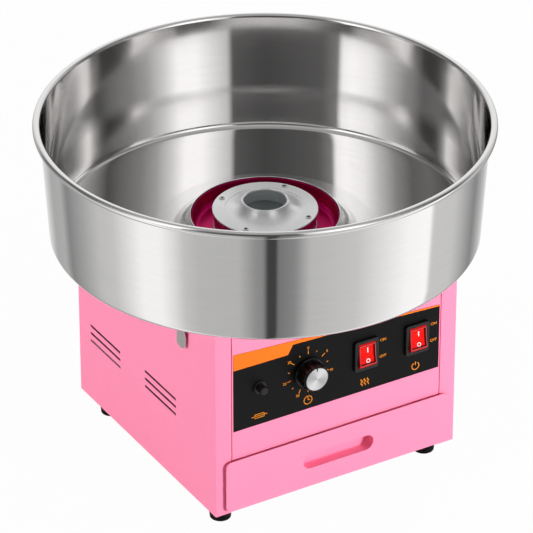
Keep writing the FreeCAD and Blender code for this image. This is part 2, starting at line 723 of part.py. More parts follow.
def fuse_holder_body():
    """Flanged barrel of the fuse holder."""
    flange = bar_y(FUSE_FLANGE_RADIUS, fuse_x, control_level, label_face - FUSE_FLANGE_HEIGHT, label_face)
    barrel = bar_y(FUSE_BARREL_RADIUS, fuse_x, control_level, label_face,
                   label_face + FUSE_BARREL_LENGTH)
    bore = bar_y(FUSE_BORE_RADIUS, fuse_x, control_level, label_face - 2 * FUSE_FLANGE_HEIGHT,
                 label_face + FUSE_BARREL_LENGTH - FUSE_FLANGE_HEIGHT)
    return joined([flange, barrel]).cut(bore)


def fuse_holder_nut():
    """Hexagonal nut that holds the fuse holder from behind the panel."""
    back = front_face + SHEET
    nut = hexagon_y(FUSE_NUT_FLATS, fuse_x, control_level, back, back + FUSE_NUT_HEIGHT)
    return nut.cut(bar_y(FUSE_BARREL_RADIUS + FIT, fuse_x, control_level, back, back + FUSE_NUT_HEIGHT))


def fuse_cap():
    """Knurled cap with a screwdriver slot and a stem that grips the fuse."""
    back = label_face - FUSE_FLANGE_HEIGHT - RUNNING_GAP
    tip = back - FUSE_CAP_LENGTH
    cap = bar_y(FUSE_CAP_RADIUS, fuse_x, control_level, tip, back)
    stem = bar_y(FUSE_BORE_RADIUS - PIN_CLEARANCE, fuse_x, control_level, back,
                 back + FUSE_CAP_STEM_LENGTH)
    slot = block(fuse_x - FUSE_CAP_RADIUS, fuse_x + FUSE_CAP_RADIUS, tip, tip + FUSE_CAP_SLOT,
                 control_level - FUSE_CAP_SLOT / 2, control_level + FUSE_CAP_SLOT / 2)
    return joined([cap, stem]).cut(slot)


def glass_fuse():
    """Cartridge fuse that comes out with the cap."""
    start = label_face - FUSE_FLANGE_HEIGHT - RUNNING_GAP + FUSE_CAP_STEM_LENGTH
    return bar_y(FUSE_RADIUS, fuse_x, control_level, start, start + FUSE_LENGTH)


def timer_screw_places():
    """X places of the two screws that hold the timer."""
    return [timer_x - TIMER_SCREW_OFFSET, timer_x + TIMER_SCREW_OFFSET]


def timer_body():
    """Clockwork timer behind the panel, with the bush that its shaft turns in."""
    back = front_face + SHEET
    half = TIMER_BODY_SIZE / 2
    case = rounded_block(timer_x - half, timer_x + half, back, back + TIMER_BODY_DEPTH,
                         control_level - half, control_level + half, TIMER_BUSH_RADIUS, Y_AXIS)
    bush = bar_y(TIMER_BUSH_RADIUS, timer_x, control_level, label_face - TIMER_BUSH_REACH, back)
    bore = bar_y(TIMER_SHAFT_RADIUS + PIN_CLEARANCE, timer_x, control_level,
                 label_face - 2 * TIMER_BUSH_REACH, back + TIMER_SHAFT_TAIL + RUNNING_GAP)
    screw_holes = [bar_y(TIMER_SCREW_RADIUS, x, control_level, back, back + TIMER_SCREW_REACH)
                   for x in timer_screw_places()]
    return joined([case, bush]).cut([bore] + screw_holes)


def timer_screws():
    """Two screws through the label and the panel into the timer, under the knob's skirt."""
    screws = []
    for x in timer_screw_places():
        head = bar_y(TIMER_SCREW_HEAD_RADIUS, x, control_level, label_face - TIMER_SCREW_HEAD_HEIGHT,
                     label_face)
        shank = bar_y(TIMER_SCREW_RADIUS, x, control_level, label_face,
                      front_face + SHEET + TIMER_SCREW_REACH)
        screws.append(joined([head, shank]))
    return Part.makeCompound(screws)


def knob_planes():
    """Y planes of the knob: back of the skirt, back of the grip, back of the crown, its face."""
    skirt_back = label_face - KNOB_GAP
    grip_back = skirt_back - KNOB_SKIRT_HEIGHT
    crown_back = grip_back - KNOB_HEIGHT
    return skirt_back, grip_back, crown_back, crown_back - KNOB_CROWN_HEIGHT


def timer_shaft():
    """Shaft from the clockwork into the knob."""
    skirt_back = knob_planes()[0]
    return bar_y(TIMER_SHAFT_RADIUS, timer_x, control_level, skirt_back - KNOB_SOCKET_DEPTH,
                 front_face + SHEET + TIMER_SHAFT_TAIL)


def timer_knob():
    """Fluted knob with a skirt and a crown around its metal disc."""
    skirt_back, grip_back, crown_back, crown_face = knob_planes()
    skirt = bar_y(KNOB_SKIRT_RADIUS, timer_x, control_level, grip_back, skirt_back)
    grip = bar_y(KNOB_RADIUS, timer_x, control_level, crown_back, grip_back)
    flute_circle = KNOB_RADIUS + KNOB_FLUTE_RADIUS - KNOB_FLUTE_DEPTH
    flutes = []
    for step in range(KNOB_FLUTES):
        angle = math.radians(360 * step / KNOB_FLUTES)
        flutes.append(bar_y(KNOB_FLUTE_RADIUS, timer_x + flute_circle * math.cos(angle),
                            control_level + flute_circle * math.sin(angle), crown_back, grip_back))
    crown = bar_y(KNOB_CROWN_RADIUS, timer_x, control_level, crown_face, crown_back)
    socket = bar_y(TIMER_SHAFT_RADIUS + FIT, timer_x, control_level, skirt_back - KNOB_SOCKET_DEPTH,
                   skirt_back)
    recess = bar_y(KNOB_DISC_RADIUS + FIT, timer_x, control_level, crown_face,
                   crown_face + KNOB_DISC_SHEET)
    return joined([skirt, grip.cut(flutes), crown]).cut([socket, recess])


def knob_disc():
    """Spun metal disc set in the knob's crown, with the pointer notch at the top."""
    crown_face = knob_planes()[3]
    disc = bar_y(KNOB_DISC_RADIUS, timer_x, control_level, crown_face, crown_face + KNOB_DISC_SHEET)
    notch = block(timer_x - KNOB_NOTCH_WIDTH / 2, timer_x + KNOB_NOTCH_WIDTH / 2, crown_face,
                  crown_face + KNOB_DISC_SHEET, control_level + KNOB_DISC_RADIUS - KNOB_NOTCH_LENGTH,
                  control_level + KNOB_DISC_RADIUS)
    return disc.cut(notch)


def switch_body(x):
    """Rocker switch with its raised bezel in front and its terminals behind."""
    back = front_face + SHEET
    bezel = rounded_block(x - BEZEL_WIDTH / 2, x + BEZEL_WIDTH / 2, label_face - BEZEL_DEPTH, label_face,
                          control_level - BEZEL_HEIGHT / 2, control_level + BEZEL_HEIGHT / 2,
                          BEZEL_CORNER, Y_AXIS)
    front_edges = [edge for edge in bezel.Edges
                   if abs(edge.BoundBox.YMax - (label_face - BEZEL_DEPTH)) < 1e-6]
    bezel = bezel.makeFillet(BEZEL_EDGE_ROUND, front_edges)
    body = block(x - SWITCH_BODY_WIDTH / 2, x + SWITCH_BODY_WIDTH / 2, label_face,
                 back + SWITCH_BODY_DEPTH, control_level - SWITCH_BODY_HEIGHT / 2,
                 control_level + SWITCH_BODY_HEIGHT / 2)
    tabs = []
    for step in range(SWITCH_TAB_COUNT):
        level = control_level + (step - (SWITCH_TAB_COUNT - 1) / 2) * SWITCH_BODY_HEIGHT / 2
        tabs.append(block(x - SWITCH_TAB_WIDTH / 2, x + SWITCH_TAB_WIDTH / 2, back + SWITCH_BODY_DEPTH,
                          back + SWITCH_BODY_DEPTH + SWITCH_TAB_LENGTH,
                          level - SWITCH_TAB_SHEET / 2, level + SWITCH_TAB_SHEET / 2))
    well_half_width = ROCKER_WIDTH / 2 + ROCKER_GAP
    well = bar_x(ROCKER_RADIUS + ROCKER_GAP, rocker_pivot_y, control_level,
                 x - well_half_width, x + well_half_width)
    pins = bar_x(ROCKER_PIVOT_RADIUS, rocker_pivot_y, control_level,
                 x - well_half_width, x + well_half_width)
    return joined([joined([bezel, body] + tabs).cut(well), pins])


def rocker(x):
    """Rocker at rest in its on position, upper end pressed: a round-ended key with a hollow face."""
    half = ROCKER_WIDTH / 2
    body = bar_x(ROCKER_RADIUS, rocker_pivot_y, control_level, x - half, x + half)
    deep = rocker_pivot_y + ROCKER_BACK
    back_cut = block(x - ROCKER_WIDTH, x + ROCKER_WIDTH, deep, deep + ROCKER_RADIUS,
                     control_level - 2 * ROCKER_RADIUS, control_level + 2 * ROCKER_RADIUS)
    face = rocker_pivot_y - ROCKER_RISE
    hollow_radius = (ROCKER_RADIUS ** 2 + ROCKER_HOLLOW ** 2) / (2 * ROCKER_HOLLOW)
    hollow = bar_x(hollow_radius, face + ROCKER_HOLLOW - hollow_radius, control_level,
                   x - ROCKER_WIDTH, x + ROCKER_WIDTH)
    front_cut = block(x - ROCKER_WIDTH, x + ROCKER_WIDTH, face - ROCKER_RADIUS, face,
                      control_level - 2 * ROCKER_RADIUS, control_level + 2 * ROCKER_RADIUS)
    pin_hole = bar_x(ROCKER_PIVOT_RADIUS + PIN_CLEARANCE, rocker_pivot_y, control_level,
                     x - ROCKER_WIDTH, x + ROCKER_WIDTH)
    key = body.cut([back_cut, hollow, front_cut, pin_hole])
    key.rotate(Vector(x, rocker_pivot_y, control_level), X_AXIS, -ROCKER_TILT)
    return key


def bowl():
    """Spun bowl: raised collar round the opening, flat floor, leaning wall and rolled rim."""
    floor = cabinet_top
    inner_floor = floor + BOWL_SHEET
    collar_foot = BOWL_OPENING_RADIUS + BOWL_COLLAR_SPREAD
    collar_sweep = 2 * math.atan2(BOWL_COLLAR_HEIGHT, BOWL_COLLAR_SPREAD)
    collar_radius = BOWL_COLLAR_SPREAD / math.sin(collar_sweep)
    collar_centre = (collar_foot, floor + collar_radius)
    collar_end = -90 - math.degrees(collar_sweep)
    rim_level = floor + BOWL_HEIGHT
    bead_level = rim_level - BOWL_BEAD_RADIUS
    rise = bead_level - floor - BOWL_CORNER_RADIUS
    lean = math.degrees(math.atan2(BOWL_WALL_SLANT, rise))
    corner_centre = (bowl_wall_foot_radius - BOWL_CORNER_RADIUS, floor + BOWL_CORNER_RADIUS)
    small_radius = BOWL_CORNER_RADIUS - BOWL_SHEET
    outer_foot = on_circle(corner_centre, BOWL_CORNER_RADIUS, -lean)
    inner_foot = on_circle(corner_centre, small_radius, -lean)
    outer_top = (bowl_wall_top_radius, bead_level)
    inner_top = (bowl_wall_top_radius - BOWL_SHEET, bead_level)
    lower_end = on_circle(collar_centre, collar_radius, collar_end)
    upper_end = on_circle(collar_centre, collar_radius - BOWL_SHEET, collar_end)
    middle_angle = (-90 + collar_end) / 2
    corner_middle = (-90 - lean) / 2
    edges = [
        line((corner_centre[0], floor), (collar_foot, floor)),
        arc((collar_foot, floor), on_circle(collar_centre, collar_radius, middle_angle), lower_end),
        line(lower_end, upper_end),
        arc(upper_end, on_circle(collar_centre, collar_radius - BOWL_SHEET, middle_angle),
            (collar_foot, inner_floor)),
        line((collar_foot, inner_floor), (corner_centre[0], inner_floor)),
        arc((corner_centre[0], inner_floor), on_circle(corner_centre, small_radius, corner_middle),
            inner_foot),
        line(inner_foot, inner_top),
        line(inner_top, outer_top),
        line(outer_top, outer_foot),
        arc(outer_foot, on_circle(corner_centre, BOWL_CORNER_RADIUS, corner_middle),
            (corner_centre[0], floor)),
    ]
    shell = turned(edges)
    bead_circle = BOWL_RIM_DIAMETER / 2 - BOWL_BEAD_RADIUS
    bead = Part.makeTorus(bead_circle, BOWL_BEAD_RADIUS, Vector(0, 0, bead_level))
    lip = Part.makeTorus(lower_end[0] + BOWL_LIP_RADIUS, BOWL_LIP_RADIUS, Vector(0, 0, lower_end[1]))
    return joined([shell, bead, lip])


def left_bowl_clip():
    """Folded lever that hangs from the bracket's pin: a curl, a leaning leg and a flared tongue."""
    y_min = CLIP_Y - CLIP_HALF_WIDTH
    y_max = CLIP_Y + CLIP_HALF_WIDTH
    tip_x = clip_fold_x - CLIP_TIP_OUT
    outline = [
        (clip_inner_x, clip_pivot_level), (clip_outer_x, clip_pivot_level),
        (clip_fold_x - CLIP_SHEET, clip_fold_level), (tip_x - CLIP_SHEET, clip_tip_level),
        (tip_x, clip_tip_level), (clip_fold_x, clip_fold_level),
    ]
    leg = extruded_y(outline, y_min, y_max)
    blank = block(clip_outer_x - CLIP_TIP_OUT, -half_width, y_min, y_max, clip_tip_level, cabinet_top)
    tip_edges = [edge for edge in edges_along(blank, X_AXIS)
                 if abs(edge.CenterOfMass.z - clip_tip_level) < 1e-6]
    leg = leg.common(blank.makeFillet(CLIP_TIP_ROUND, tip_edges))
    curl = bar_y(CLIP_CURL_RADIUS, clip_pivot_x, clip_pivot_level, y_min, y_max)
    pin_hole = bar_y(CLIP_PIN_RADIUS + PIN_CLEARANCE, clip_pivot_x, clip_pivot_level, y_min, y_max)
    return joined([leg, curl]).cut(pin_hole)


def left_clip_pad():
    """Rubber pad across the clip's fold, which grips the side wall."""
    top = cabinet_top - CLIP_PAD_TOP_DROP
    bottom = top - CLIP_PAD_HEIGHT
    grip = -half_width - CLIP_PAD_GAP
    top_x = clip_fold_x - CLIP_LEAN * (top - clip_fold_level) / (clip_pivot_level - clip_fold_level)
    bottom_x = clip_fold_x - CLIP_TIP_OUT * (clip_fold_level - bottom) / (clip_fold_level - clip_tip_level)
    outline = [(clip_fold_x, clip_fold_level), (top_x, top), (grip, top), (grip, bottom), (bottom_x, bottom)]
    return extruded_y(outline, CLIP_Y - CLIP_PAD_HALF_WIDTH, CLIP_Y + CLIP_PAD_HALF_WIDTH)


def bowl_clip_brackets():
    """Brackets under the bowl's floor, each with two ears and the pin that its clip turns on."""
    start = -half_width - CLIP_BRACKET_START
    ear_inner = CLIP_HALF_WIDTH + CLIP_EAR_GAP
    ear_outer = ear_inner + CLIP_EAR_SHEET
    pieces = [
        block(start - CLIP_BRACKET_LENGTH, start, CLIP_Y - ear_outer, CLIP_Y + ear_outer,
              cabinet_top - CLIP_SHEET, cabinet_top),
        bar_y(CLIP_PIN_RADIUS, clip_pivot_x, clip_pivot_level, CLIP_Y - ear_outer, CLIP_Y + ear_outer),
    ]
    for side in (-1, 1):
        ends = sorted((CLIP_Y + side * ear_inner, CLIP_Y + side * ear_outer))
        pieces.append(block(clip_pivot_x - CLIP_EAR_HALF_DEPTH, clip_pivot_x + CLIP_EAR_HALF_DEPTH,
                            ends[0], ends[1], cabinet_top - CLIP_EAR_DROP, cabinet_top))
    bracket = joined(pieces)
    return Part.makeCompound([bracket, opposite(bracket)])


def dish_screw_places():
    """Places of the burner dish's screws, as (x, y) pairs."""
    places = []
    for step in range(DISH_SCREW_COUNT):
        angle = math.radians(DISH_SCREW_ANGLE + 360 * step / DISH_SCREW_COUNT)
        places.append((DISH_SCREW_CIRCLE * math.cos(angle), DISH_SCREW_CIRCLE * math.sin(angle)))
    return places


def burner_dish():
    """Dish that fills the bowl's opening and catches what falls under the head."""
    centre = (dish_radius - DISH_CORNER_RADIUS, cabinet_top + DISH_CORNER_RADIUS)
    small_radius = DISH_CORNER_RADIUS - DISH_SHEET
    wall_top = cabinet_top + DISH_HEIGHT
    edges = [
        line((DISH_HUB_HOLE_RADIUS, cabinet_top), (centre[0], cabinet_top)),
        arc((centre[0], cabinet_top), on_circle(centre, DISH_CORNER_RADIUS, -45), (dish_radius, centre[1])),
        line((dish_radius, centre[1]), (dish_radius, wall_top)),
        line((dish_radius, wall_top), (dish_radius - DISH_SHEET, wall_top)),
        line((dish_radius - DISH_SHEET, wall_top), (dish_radius - DISH_SHEET, centre[1])),
        arc((dish_radius - DISH_SHEET, centre[1]), on_circle(centre, small_radius, -45),
            (centre[0], dish_floor)),
        line((centre[0], dish_floor), (DISH_HUB_HOLE_RADIUS, dish_floor)),
        line((DISH_HUB_HOLE_RADIUS, dish_floor), (DISH_HUB_HOLE_RADIUS, cabinet_top)),
    ]
    holes = [upright(DISH_SCREW_RADIUS, x, y, cabinet_top - SHEET, dish_floor + SHEET)
             for x, y in dish_screw_places()]
    return turned(edges).cut(holes)


def dish_screws():
    """Screws that hold the burner dish to the top plate."""
    screws = []
    for x, y in dish_screw_places():
        head = upright(DISH_SCREW_HEAD_RADIUS, x, y, dish_floor, dish_floor + DISH_SCREW_HEAD_HEIGHT)
        shank = upright(DISH_SCREW_RADIUS, x, y, cabinet_top - SHEET - DISH_SCREW_REACH, dish_floor)
        screws.append(joined([head, shank]))
    return Part.makeCompound(screws)


def head_base():
    """Bottom plate of the head with the hub that clamps the shaft and the flared sugar cup."""
    plate = upright(HEAD_BASE_RADIUS, 0, 0, head_bottom, band_bottom)
    hub = upright(HEAD_HUB_RADIUS, 0, 0, head_bottom - HEAD_HUB_HEIGHT, head_bottom)
    bore = upright(SHAFT_RADIUS + FIT, 0, 0, head_bottom - HEAD_HUB_HEIGHT, band_bottom)
    foot = Vector(0, 0, band_bottom)
    cup_outside = Part.makeCone(HEAD_CUP_FOOT_RADIUS + HEAD_CUP_SHEET, HEAD_CUP_TOP_RADIUS + HEAD_CUP_SHEET,
                                HEAD_CUP_HEIGHT, foot, Z_AXIS)
    cup_inside = Part.makeCone(HEAD_CUP_FOOT_RADIUS, HEAD_CUP_TOP_RADIUS, HEAD_CUP_HEIGHT, foot, Z_AXIS)
    return joined([plate, hub, cup_outside.cut(cup_inside)]).cut(bore)


def head_band():
    """Slotted band that the melted sugar is thrown through."""
    band = tube_z(HEAD_BAND_RADIUS, HEAD_BAND_RADIUS - HEAD_BAND_SHEET, band_bottom, band_top)
    middle = (band_bottom + band_top) / 2
    slot = block(HEAD_BAND_RADIUS - 2 * HEAD_BAND_SHEET, HEAD_BAND_RADIUS + HEAD_BAND_SHEET,
                 -HEAD_BAND_SLOT_WIDTH / 2, HEAD_BAND_SLOT_WIDTH / 2,
                 middle - HEAD_BAND_SLOT_HEIGHT / 2, middle + HEAD_BAND_SLOT_HEIGHT / 2)
    return band.cut(around(slot, HEAD_BAND_SLOTS, 0))


def head_top():
    """Top flange and flared cone, with a rolled lip and a short throat round the sugar opening."""
    cone_foot = HEAD_GROOVE_RADIUS - HEAD_GROOVE_WIDTH
    cone_run = cone_foot - HEAD_CONE_TOP_RADIUS
    sweep = 2 * math.atan2(HEAD_CONE_RISE, cone_run)
    outer_radius = cone_run / math.sin(sweep)
    inner_radius = outer_radius + HEAD_FLANGE_THICKNESS
    groove_floor = flange_top - HEAD_GROOVE_DEPTH
    centre = (cone_foot, groove_floor + outer_radius)
    end_angle = -90 - math.degrees(sweep)
    middle_angle = (-90 + end_angle) / 2
    outer_end = on_circle(centre, outer_radius, end_angle)
    inner_end = on_circle(centre, inner_radius, end_angle)
    under_cone = groove_floor - HEAD_FLANGE_THICKNESS
    edges = [
        line((HEAD_FLANGE_RADIUS, band_top), (HEAD_FLANGE_RADIUS, flange_top)),
        line((HEAD_FLANGE_RADIUS, flange_top), (HEAD_GROOVE_RADIUS, flange_top)),
        line((HEAD_GROOVE_RADIUS, flange_top), (HEAD_GROOVE_RADIUS, groove_floor)),
        line((HEAD_GROOVE_RADIUS, groove_floor), (cone_foot, groove_floor)),
        arc((cone_foot, groove_floor), on_circle(centre, outer_radius, middle_angle), outer_end),
        line(outer_end, inner_end),
        arc(inner_end, on_circle(centre, inner_radius, middle_angle), (cone_foot, under_cone)),
        line((cone_foot, under_cone), (HEAD_GROOVE_RADIUS + HEAD_GROOVE_WIDTH, band_top)),
        line((HEAD_GROOVE_RADIUS + HEAD_GROOVE_WIDTH, band_top), (HEAD_FLANGE_RADIUS, band_top)),
    ]
    lip_centre = ((outer_end[0] + inner_end[0]) / 2 - HEAD_LIP_RADIUS / 2,
                  (outer_end[1] + inner_end[1]) / 2 + HEAD_LIP_RADIUS / 2)
    lip = Part.makeTorus(lip_centre[0], HEAD_LIP_RADIUS, Vector(0, 0, lip_centre[1]))
    throat = tube_z(HEAD_THROAT_RADIUS, HEAD_THROAT_RADIUS - HEAD_THROAT_SHEET,
                    band_top - HEAD_THROAT_DROP, lip_centre[1])
    hole = upright(HEAD_SCREW_RADIUS + FIT, HEAD_SCREW_CIRCLE, 0, band_top - SHEET, flange_top + SHEET)
    return joined([turned(edges), lip, throat]).cut(around(hole, HEAD_SCREW_COUNT, HEAD_SCREW_ANGLE))


def head_screws():
    """Screws through the top flange into the spacers."""
    head = upright(HEAD_SCREW_HEAD_RADIUS, HEAD_SCREW_CIRCLE, 0, flange_top,
                   flange_top + HEAD_SCREW_HEAD_HEIGHT)
    shank = upright(HEAD_SCREW_RADIUS, HEAD_SCREW_CIRCLE, 0, flange_top - HEAD_SCREW_LENGTH, flange_top)
    return Part.makeCompound(around(joined([head, shank]), HEAD_SCREW_COUNT, HEAD_SCREW_ANGLE))


def head_spacers():
    """Pillars between the base and the flange of the head."""
    pillar = upright(HEAD_SPACER_RADIUS, HEAD_SCREW_CIRCLE, 0, band_bottom, band_top)
    bore = upright(HEAD_SCREW_RADIUS + FIT, HEAD_SCREW_CIRCLE, 0,
                   flange_top - HEAD_SCREW_LENGTH - FIT, band_top)
    return Part.makeCompound(around(pillar.cut(bore), HEAD_SCREW_COUNT, HEAD_SCREW_ANGLE))


def heating_ring():
    """Ribbon heater inside the band."""
    bottom = band_bottom + HEATER_POST_HEIGHT
    return tube_z(HEATER_RADIUS, HEATER_RADIUS - HEATER_SHEET, bottom, bottom + HEATER_HEIGHT)


def ceramic_posts():
    """Insulators that carry the heater on the head's base."""
    post = upright(HEATER_POST_RADIUS, HEATER_RADIUS - HEATER_SHEET / 2, 0, band_bottom,
                   band_bottom + HEATER_POST_HEIGHT)
    start = HEAD_SCREW_ANGLE + 180 / HEAD_SCREW_COUNT
    return Part.makeCompound(around(post, HEAD_SCREW_COUNT, start))


def drive_shaft():
    """Shaft from below the motor up to the head."""
    return upright(SHAFT_RADIUS, 0, 0, motor_bottom - SHAFT_TAIL, band_bottom)


def slip_ring_sleeve():
    """Insulating sleeve on the shaft."""
    return tube_z(SLEEVE_RADIUS, SHAFT_RADIUS + FIT, sleeve_bottom, sleeve_bottom + SLEEVE_HEIGHT)


def slip_ring_levels():
    """Mid heights of the two slip rings."""
    return [sleeve_middle - SLIP_RING_PITCH / 2, sleeve_middle + SLIP_RING_PITCH / 2]


def slip_rings():
    """Brass rings that carry the heater's current."""
    rings = [tube_z(SLIP_RING_RADIUS, SLEEVE_RADIUS + FIT, level - SLIP_RING_HEIGHT / 2,
                    level + SLIP_RING_HEIGHT / 2) for level in slip_ring_levels()]
    return Part.makeCompound(rings)


def brush_holder():
    """Insulating block on the motor plate, with a square guide for each brush."""
    top = max(slip_ring_levels()) + SLIP_RING_HEIGHT / 2 + HOLDER_TOP_MARGIN
    holder = block(HOLDER_START, HOLDER_START + HOLDER_LENGTH, -HOLDER_HALF_WIDTH, HOLDER_HALF_WIDTH,
                   motor_plate_top, top)
    half = BRUSH_SIZE / 2 + PIN_CLEARANCE
    guides = [block(HOLDER_START, HOLDER_START + HOLDER_LENGTH - HOLDER_END_WALL, -half, half,
                    level - half, level + half) for level in slip_ring_levels()]
    return holder.cut(guides)


def carbon_brushes():
    """Brushes that rub on the slip rings."""
    start = SLIP_RING_RADIUS + BRUSH_GAP
    half = BRUSH_SIZE / 2
    brushes = [block(start, start + BRUSH_LENGTH, -half, half, level - half, level + half)
               for level in slip_ring_levels()]
    return Part.makeCompound(brushes)


def brush_springs():
    """Coil springs behind the brushes."""
    start = SLIP_RING_RADIUS + BRUSH_GAP + BRUSH_LENGTH + SPRING_WIRE_RADIUS
    end = HOLDER_START + HOLDER_LENGTH - HOLDER_END_WALL - SPRING_WIRE_RADIUS
    springs = []
    for level in slip_ring_levels():
        helix = Part.makeHelix((end - start) / SPRING_TURNS, end - start, SPRING_RADIUS)
        ring = Part.makeCircle(SPRING_WIRE_RADIUS, Vector(SPRING_RADIUS, 0, 0), Y_AXIS)
        coil = Part.Wire(helix).makePipeShell([Part.Wire(ring)], True, True)
        coil.rotate(ORIGIN, Y_AXIS, 90)
        coil.translate(Vector(start, 0, level))
        springs.append(coil)
    return Part.makeCompound(springs)


def mount_places():
    """Places of the rods that carry the motor plate, as (x, y) pairs."""
    return [(x * MOUNT_ROD_OFFSET, y * MOUNT_ROD_OFFSET) for x in (-1, 1) for y in (-1, 1)]


def mount_rods():
    """Rods under the top plate, each with its lower end riveted over under the motor plate."""
    rods = []
    for x, y in mount_places():
        rod = upright(MOUNT_ROD_RADIUS, x, y, motor_plate_top, cabinet_top - SHEET)
        stud = upright(MOUNT_STUD_RADIUS, x, y, motor_top, motor_plate_top)
        rivet = upright(MOUNT_RIVET_RADIUS, x, y, motor_top - MOUNT_RIVET_HEIGHT, motor_top)
        rods.append(joined([rod, stud, rivet]))
    return Part.makeCompound(rods)


def motor_plate():
    """Plate that hangs from the rods and carries the motor and the brush holder."""
    half = MOTOR_PLATE_SIZE / 2
    plate = block(-half, half, -half, half, motor_top, motor_plate_top)
    hole = upright(MOTOR_PLATE_HOLE_RADIUS, 0, 0, motor_top, motor_plate_top)
    stud_holes = [upright(MOUNT_STUD_RADIUS + FIT, x, y, motor_top, motor_plate_top)
                  for x, y in mount_places()]
    return plate.cut([hole] + stud_holes)


def motor_housing():
    """Housing of the motor, closed at the top round the upper bearing."""
    body = upright(MOTOR_RADIUS, 0, 0, motor_bottom + MOTOR_END_THICKNESS, motor_top)
    cavity = upright(MOTOR_RADIUS - MOTOR_WALL, 0, 0, motor_bottom + MOTOR_END_THICKNESS,
                     motor_top - MOTOR_END_THICKNESS)
    seat = upright(BEARING_RADIUS + FIT, 0, 0, motor_top - MOTOR_END_THICKNESS, motor_top)
    return body.cut([cavity, seat])


def motor_end_bell():
    """Lower end of the motor round the lower bearing."""
    return tube_z(MOTOR_RADIUS, BEARING_RADIUS + FIT, motor_bottom, motor_bottom + MOTOR_END_THICKNESS)


def shaft_bearings():
    """Ball bearings in the motor's housing and end bell, with a running clearance on the shaft."""
    margin = (MOTOR_END_THICKNESS - BEARING_WIDTH) / 2
    levels = (motor_bottom + margin, motor_top - margin - BEARING_WIDTH)
    rings = [tube_z(BEARING_RADIUS, SHAFT_RADIUS + PIN_CLEARANCE, level, level + BEARING_WIDTH)
             for level in levels]
    return Part.makeCompound(rings)


def rotor_levels():
    """Lowest and highest level of the motor's rotor and stator."""
    middle = (motor_top + motor_bottom) / 2
    return middle - ROTOR_LENGTH / 2, middle + ROTOR_LENGTH / 2


def motor_stator():
    """Wound ring inside the housing."""
    low, high = rotor_levels()
    return tube_z(MOTOR_RADIUS - MOTOR_WALL - FIT, STATOR_INNER_RADIUS, low, high)


def motor_rotor():
    """Rotor on the shaft."""
    low, high = rotor_levels()
    return tube_z(STATOR_INNER_RADIUS - ROTOR_GAP, SHAFT_RADIUS + FIT, low, high)


def cooling_fan():
    """Fan on the shaft under the motor."""
    disc_top = motor_bottom - FAN_GAP
    disc_bottom = disc_top - FAN_DISC_THICKNESS
    blade_bottom = disc_bottom - FAN_BLADE_HEIGHT
    disc = upright(FAN_RADIUS, 0, 0, disc_bottom, disc_top)
    hub = upright(FAN_HUB_RADIUS, 0, 0, blade_bottom, disc_bottom)
    blade = block(FAN_HUB_RADIUS - FAN_BLADE_SHEET, FAN_RADIUS - FAN_BLADE_SHEET, -FAN_BLADE_SHEET / 2,
                  FAN_BLADE_SHEET / 2, blade_bottom, disc_bottom)
    fan = joined([disc, hub] + around(blade, FAN_BLADES, 0))
    return fan.cut(upright(SHAFT_RADIUS + FIT, 0, 0, blade_bottom, disc_top))


def power_inlet():
    """Appliance inlet on the rear panel, for a mains lead that unplugs."""
    flange = rounded_block(INLET_X - INLET_FLANGE_WIDTH / 2, INLET_X + INLET_FLANGE_WIDTH / 2,
                           half_depth, half_depth + INLET_FLANGE_DEPTH,
                           inlet_level - INLET_FLANGE_HEIGHT / 2, inlet_level + INLET_FLANGE_HEIGHT / 2,
                           BEZEL_CORNER, Y_AXIS)
    body = block(INLET_X - INLET_BODY_WIDTH / 2, INLET_X + INLET_BODY_WIDTH / 2,
                 half_depth - INLET_BODY_DEPTH, half_depth,
                 inlet_level - INLET_BODY_HEIGHT / 2, inlet_level + INLET_BODY_HEIGHT / 2)
    mouth = half_depth + INLET_FLANGE_DEPTH
    cavity = block(INLET_X - INLET_CAVITY_WIDTH / 2, INLET_X + INLET_CAVITY_WIDTH / 2,
                   mouth - INLET_CAVITY_DEPTH, mouth,
                   inlet_level - INLET_CAVITY_HEIGHT / 2, inlet_level + INLET_CAVITY_HEIGHT / 2)
    return joined([flange, body]).cut(cavity)


def inlet_pins():
    """Three blades in the inlet; the earth blade is the raised one in the middle."""
    root = half_depth + INLET_FLANGE_DEPTH - INLET_CAVITY_DEPTH
    pins = []
    for step in (-1, 0, 1):
        x = INLET_X + step * INLET_PIN_PITCH
        level = inlet_level + INLET_PIN_RISE * (1 - 2 * abs(step))
        pins.append(block(x - INLET_PIN_WIDTH / 2, x + INLET_PIN_WIDTH / 2, root, root + INLET_PIN_LENGTH,
                          level - INLET_PIN_HEIGHT / 2, level + INLET_PIN_HEIGHT / 2))
    return Part.makeCompound(pins)


def terminal_block():
    """Terminal strip on the shelf, behind the motor."""
    base = bay_top + 2 * SHEET
    return block(TERMINAL_X - TERMINAL_WIDTH / 2, TERMINAL_X + TERMINAL_WIDTH / 2,
                 terminal_y, terminal_y + TERMINAL_DEPTH, base, base + TERMINAL_HEIGHT)


